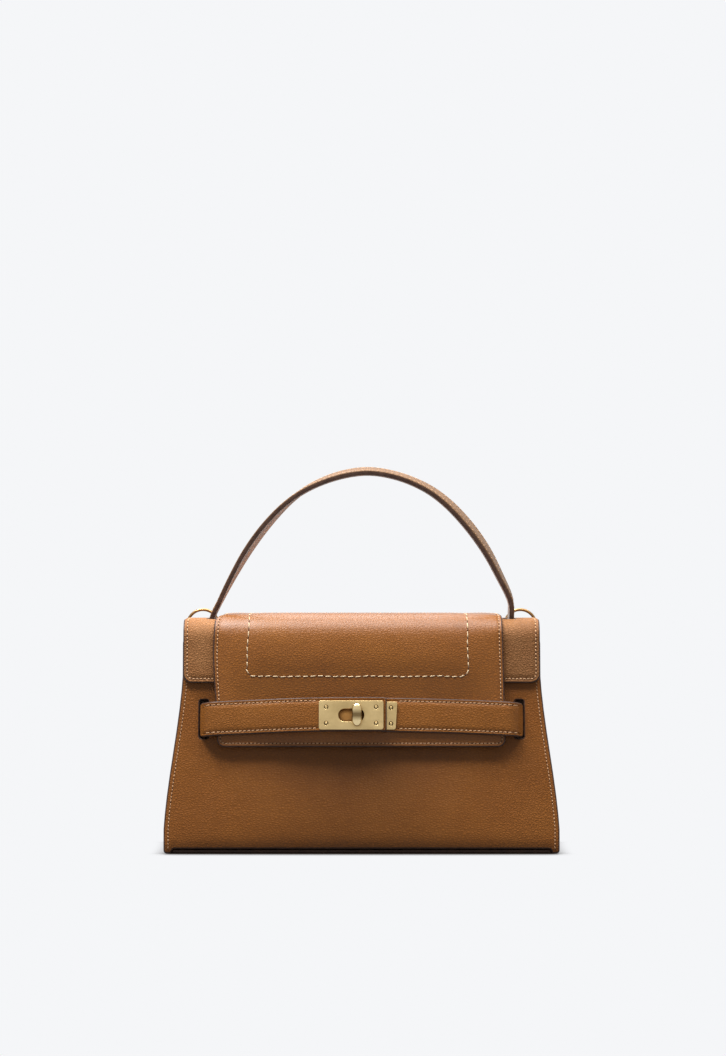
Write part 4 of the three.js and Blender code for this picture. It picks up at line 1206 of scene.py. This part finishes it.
# Strap rings, with a straight bar below, in their leather loops on the yoke.
RING_Y, RING_Z, RING_X = 29.393, 116.0, 91.4
RING_R, WIRE, RING_SIDE, RING_CORNER = 8.95, 0.85, 9.4, 0.7
rise = RING_SIDE - RING_CORNER
ring_line = [(-RING_R + 2 * RING_R * k / 12, 0) for k in range(1, 12)] + [(RING_R - 0.5, 0.12)]
ring_line += [(RING_R, RING_CORNER + rise * k / 5) for k in range(5)]
arc = [pi * k / 24 for k in range(25)]
ring_line += [(RING_R * cos(a), RING_SIDE + RING_R * sin(a)) for a in arc]
ring_line += [(-RING_R, RING_SIDE - rise * k / 5) for k in range(1, 6)] + [(-RING_R + 0.5, 0.12)]
for side, word in SIDES:
    line = [Vector((side * RING_X + x, RING_Y, RING_Z + z)) for x, z in ring_line]
    ring = wire_ring(f"strap_ring_{word}_brass", line, WIRE, [RING_BRASS_SHADED])
    dress(ring, f"ring_{word}", [f"strap_ring_{word}"])

BAR_V = (BASE_DEPTH / 2 - RING_Y) * SIN + RING_Z * COS
LOOP_ROLL, LOOP_W, LOOP_TAIL, LOOP_PLY, LOOP_HALF = 2.75, 5.55, 20.0, 1.6, 6
LOOP_TRIM, TAB_SEAM, TAB_TOP = 0.2, 1.6, 8.5


def loop_path():
    """The line of a loop's ply in (v, w): up one side of its tail, round the ring's bar, and back down."""
    low = YOKE + GAP + GAP
    inner, outer = low + LOOP_PLY / 2, low + LOOP_PLY * 1.5
    r = LOOP_ROLL - LOOP_PLY / 2 + 0.1
    points = [(-LOOP_TAIL, inner), (-8, inner), (-4, inner)]
    for k in range(13):
        a = radians(-112 + 236 * k / 12)
        points.append((r * cos(a), LOOP_W + r * sin(a)))
    points += [(-5, outer + 0.5), (-9, outer), (-LOOP_TAIL, outer)]
    return smooth_curve([Vector((BAR_V + v, w)) for v, w in points], 6)


loop_line, loop_marks = walk(loop_path())


def make_loop(side, word):
    def loop_place(s, u, w):
        p, along = at_distance(loop_line, loop_marks, s)
        here = p + Vector((along.y, -along.x)) * (w - LOOP_PLY / 2)
        return on_back(side * RING_X + u, here.x, here.y)

    def tab_place(u, v, w):
        return on_back(side * RING_X + u, v, w)

    strip = rectangle(LOOP_TRIM, loop_marks[-1] - LOOP_TRIM, -LOOP_HALF, LOOP_HALF, 1.0, 1.0)
    tab = sheet(f"ring_loop_{word}_leather", [strip], loop_place, LOOP_PLY, [TAN, EDGE, TAN], 0.5, step=1.6)
    dress(tab, "bag_body", [f"ring_loop_{word}"])
    half, low = LOOP_HALF - TAB_SEAM, BAR_V - LOOP_TAIL + TAB_SEAM
    tab_box = rectangle(-half, half, low, BAR_V - TAB_TOP, 0.8, 1.5)
    top = YOKE + 2 * GAP + 2 * LOOP_PLY
    sewing = stitches(f"ring_loop_{word}_stitches", [(tab_box, True, tab_place, top)], PINK_SEWING, 2.4, 1.7)
    dress(sewing, "bag_body")


for side, word in SIDES:
    make_loop(side, word)

# Hidden pieces keep their solids and take a finish.
finishes = dict.fromkeys(("base_board", "front_board", "back_board"), BOARD)
finishes["lock_washer"] = STEEL
for _, word in SIDES:
    finishes |= dict.fromkeys((f"body_magnet_{word}", f"flap_magnet_{word}", f"handle_toggle_{word}"), STEEL)
for name, mat in finishes.items():
    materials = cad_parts[name].data.materials
    materials.clear()
    materials.append(mat)

# Camera level with the bag, far off, as the photograph has it.
camera_data = bpy.data.cameras.new("camera")
camera_data.sensor_fit, camera_data.sensor_height, camera_data.lens = "VERTICAL", 36, 120
camera_data.clip_start, camera_data.clip_end = 0.05, 50
camera = add_object("camera", camera_data)
camera.location = (0.0008, -1.999, 0.1814)
camera.rotation_euler = (pi / 2, 0, 0)
bpy.context.scene.camera = camera

# Soft lamps: name, place, target, size and power.
LAMPS = (
    ("over", (-0.03, 0.14, 1.15), (0, 0, 0.1), (0.6, 1.6), 19),
    ("key", (-0.55, -0.26, 1.5), (0, 0, 0.08), (0.7, 0.4), 36),
    ("fill", (0.6, -0.26, 1.45), (0, 0, 0.08), (0.7, 0.4), 15),
)
for name, place, target, size, power in LAMPS:
    lamp_data = bpy.data.lights.new(name, "AREA")
    lamp_data.shape, lamp_data.energy = "RECTANGLE", power
    lamp_data.size, lamp_data.size_y = size
    lamp = add_object(name, lamp_data)
    lamp.location = place
    lamp.rotation_mode = "QUATERNION"
    lamp.rotation_quaternion = (Vector(target) - Vector(place)).to_track_quat("-Z", "Y")

# Pale studio. The floor glows evenly pale, with a painted shadow where the bag stands close to it.
PALE, CONTACT_SHADOW = (245, 246, 248), (60, 52, 46)
SKY_STRENGTH, FLOOR_GREY, CONTACT_REACH = 0.12, (0.1, 0.1, 0.1, 1), 0.012
FLOOR_HALF, FLOOR_Z = 6, -0.0002


def show_pale(nodes, output, pale, lit):
    """Shows the pale surface to the camera, in gloss and through glass, and the lit one to other rays."""
    path = nodes.add("ShaderNodeLightPath")
    first = nodes.add("ShaderNodeMath", operation="MAXIMUM")
    nodes.link(path, "Is Camera Ray", first, 0)
    nodes.link(path, "Is Glossy Ray", first, 1)
    seen = nodes.add("ShaderNodeMath", operation="MAXIMUM")
    nodes.link(first, 0, seen, 0)
    nodes.link(path, "Is Transmission Ray", seen, 1)
    mix = nodes.add("ShaderNodeMixShader")
    for port, source in enumerate((seen, lit, pale)):
        nodes.link(source, 0, mix, port)
    nodes.link(mix, 0, nodes.add(output), "Surface")


world = bpy.data.worlds.new("studio")
bpy.context.scene.world = world
sky = Nodes(world)
soft = sky.add("ShaderNodeBackground", {"Color": (1, 1, 1, 1), "Strength": SKY_STRENGTH})
shown = sky.add("ShaderNodeBackground", {"Color": colour(*PALE), "Strength": 1.0})
show_pale(sky, "ShaderNodeOutputWorld", shown, soft)

floor_mat = bpy.data.materials.new("pale_floor")
ground = Nodes(floor_mat)
plain = ground.add("ShaderNodeBsdfDiffuse", {"Color": FLOOR_GREY})
close = ground.add("ShaderNodeAmbientOcclusion", {"Distance": CONTACT_REACH}, samples=16)
# Painted contact shadow, from ambient occlusion.
shade = ground.ramp(close, [(0.3, CONTACT_SHADOW), (0.96, PALE)], "AO")
glow = ground.add("ShaderNodeEmission", {"Strength": 1.0})
ground.link(shade, "Color", glow, "Color")
show_pale(ground, "ShaderNodeOutputMaterial", glow, plain)
bm = bmesh.new()
bmesh.ops.create_grid(bm, x_segments=8, y_segments=8, size=FLOOR_HALF)
floor_mesh = bpy.data.meshes.new("floor")
bm.to_mesh(floor_mesh)
bm.free()
floor_mesh.materials.append(floor_mat)
floor = add_object("floor", floor_mesh)
floor.location.z = FLOOR_Z

bpy.context.scene.view_settings.view_transform = "Standard"
bpy.context.view_layer.update()
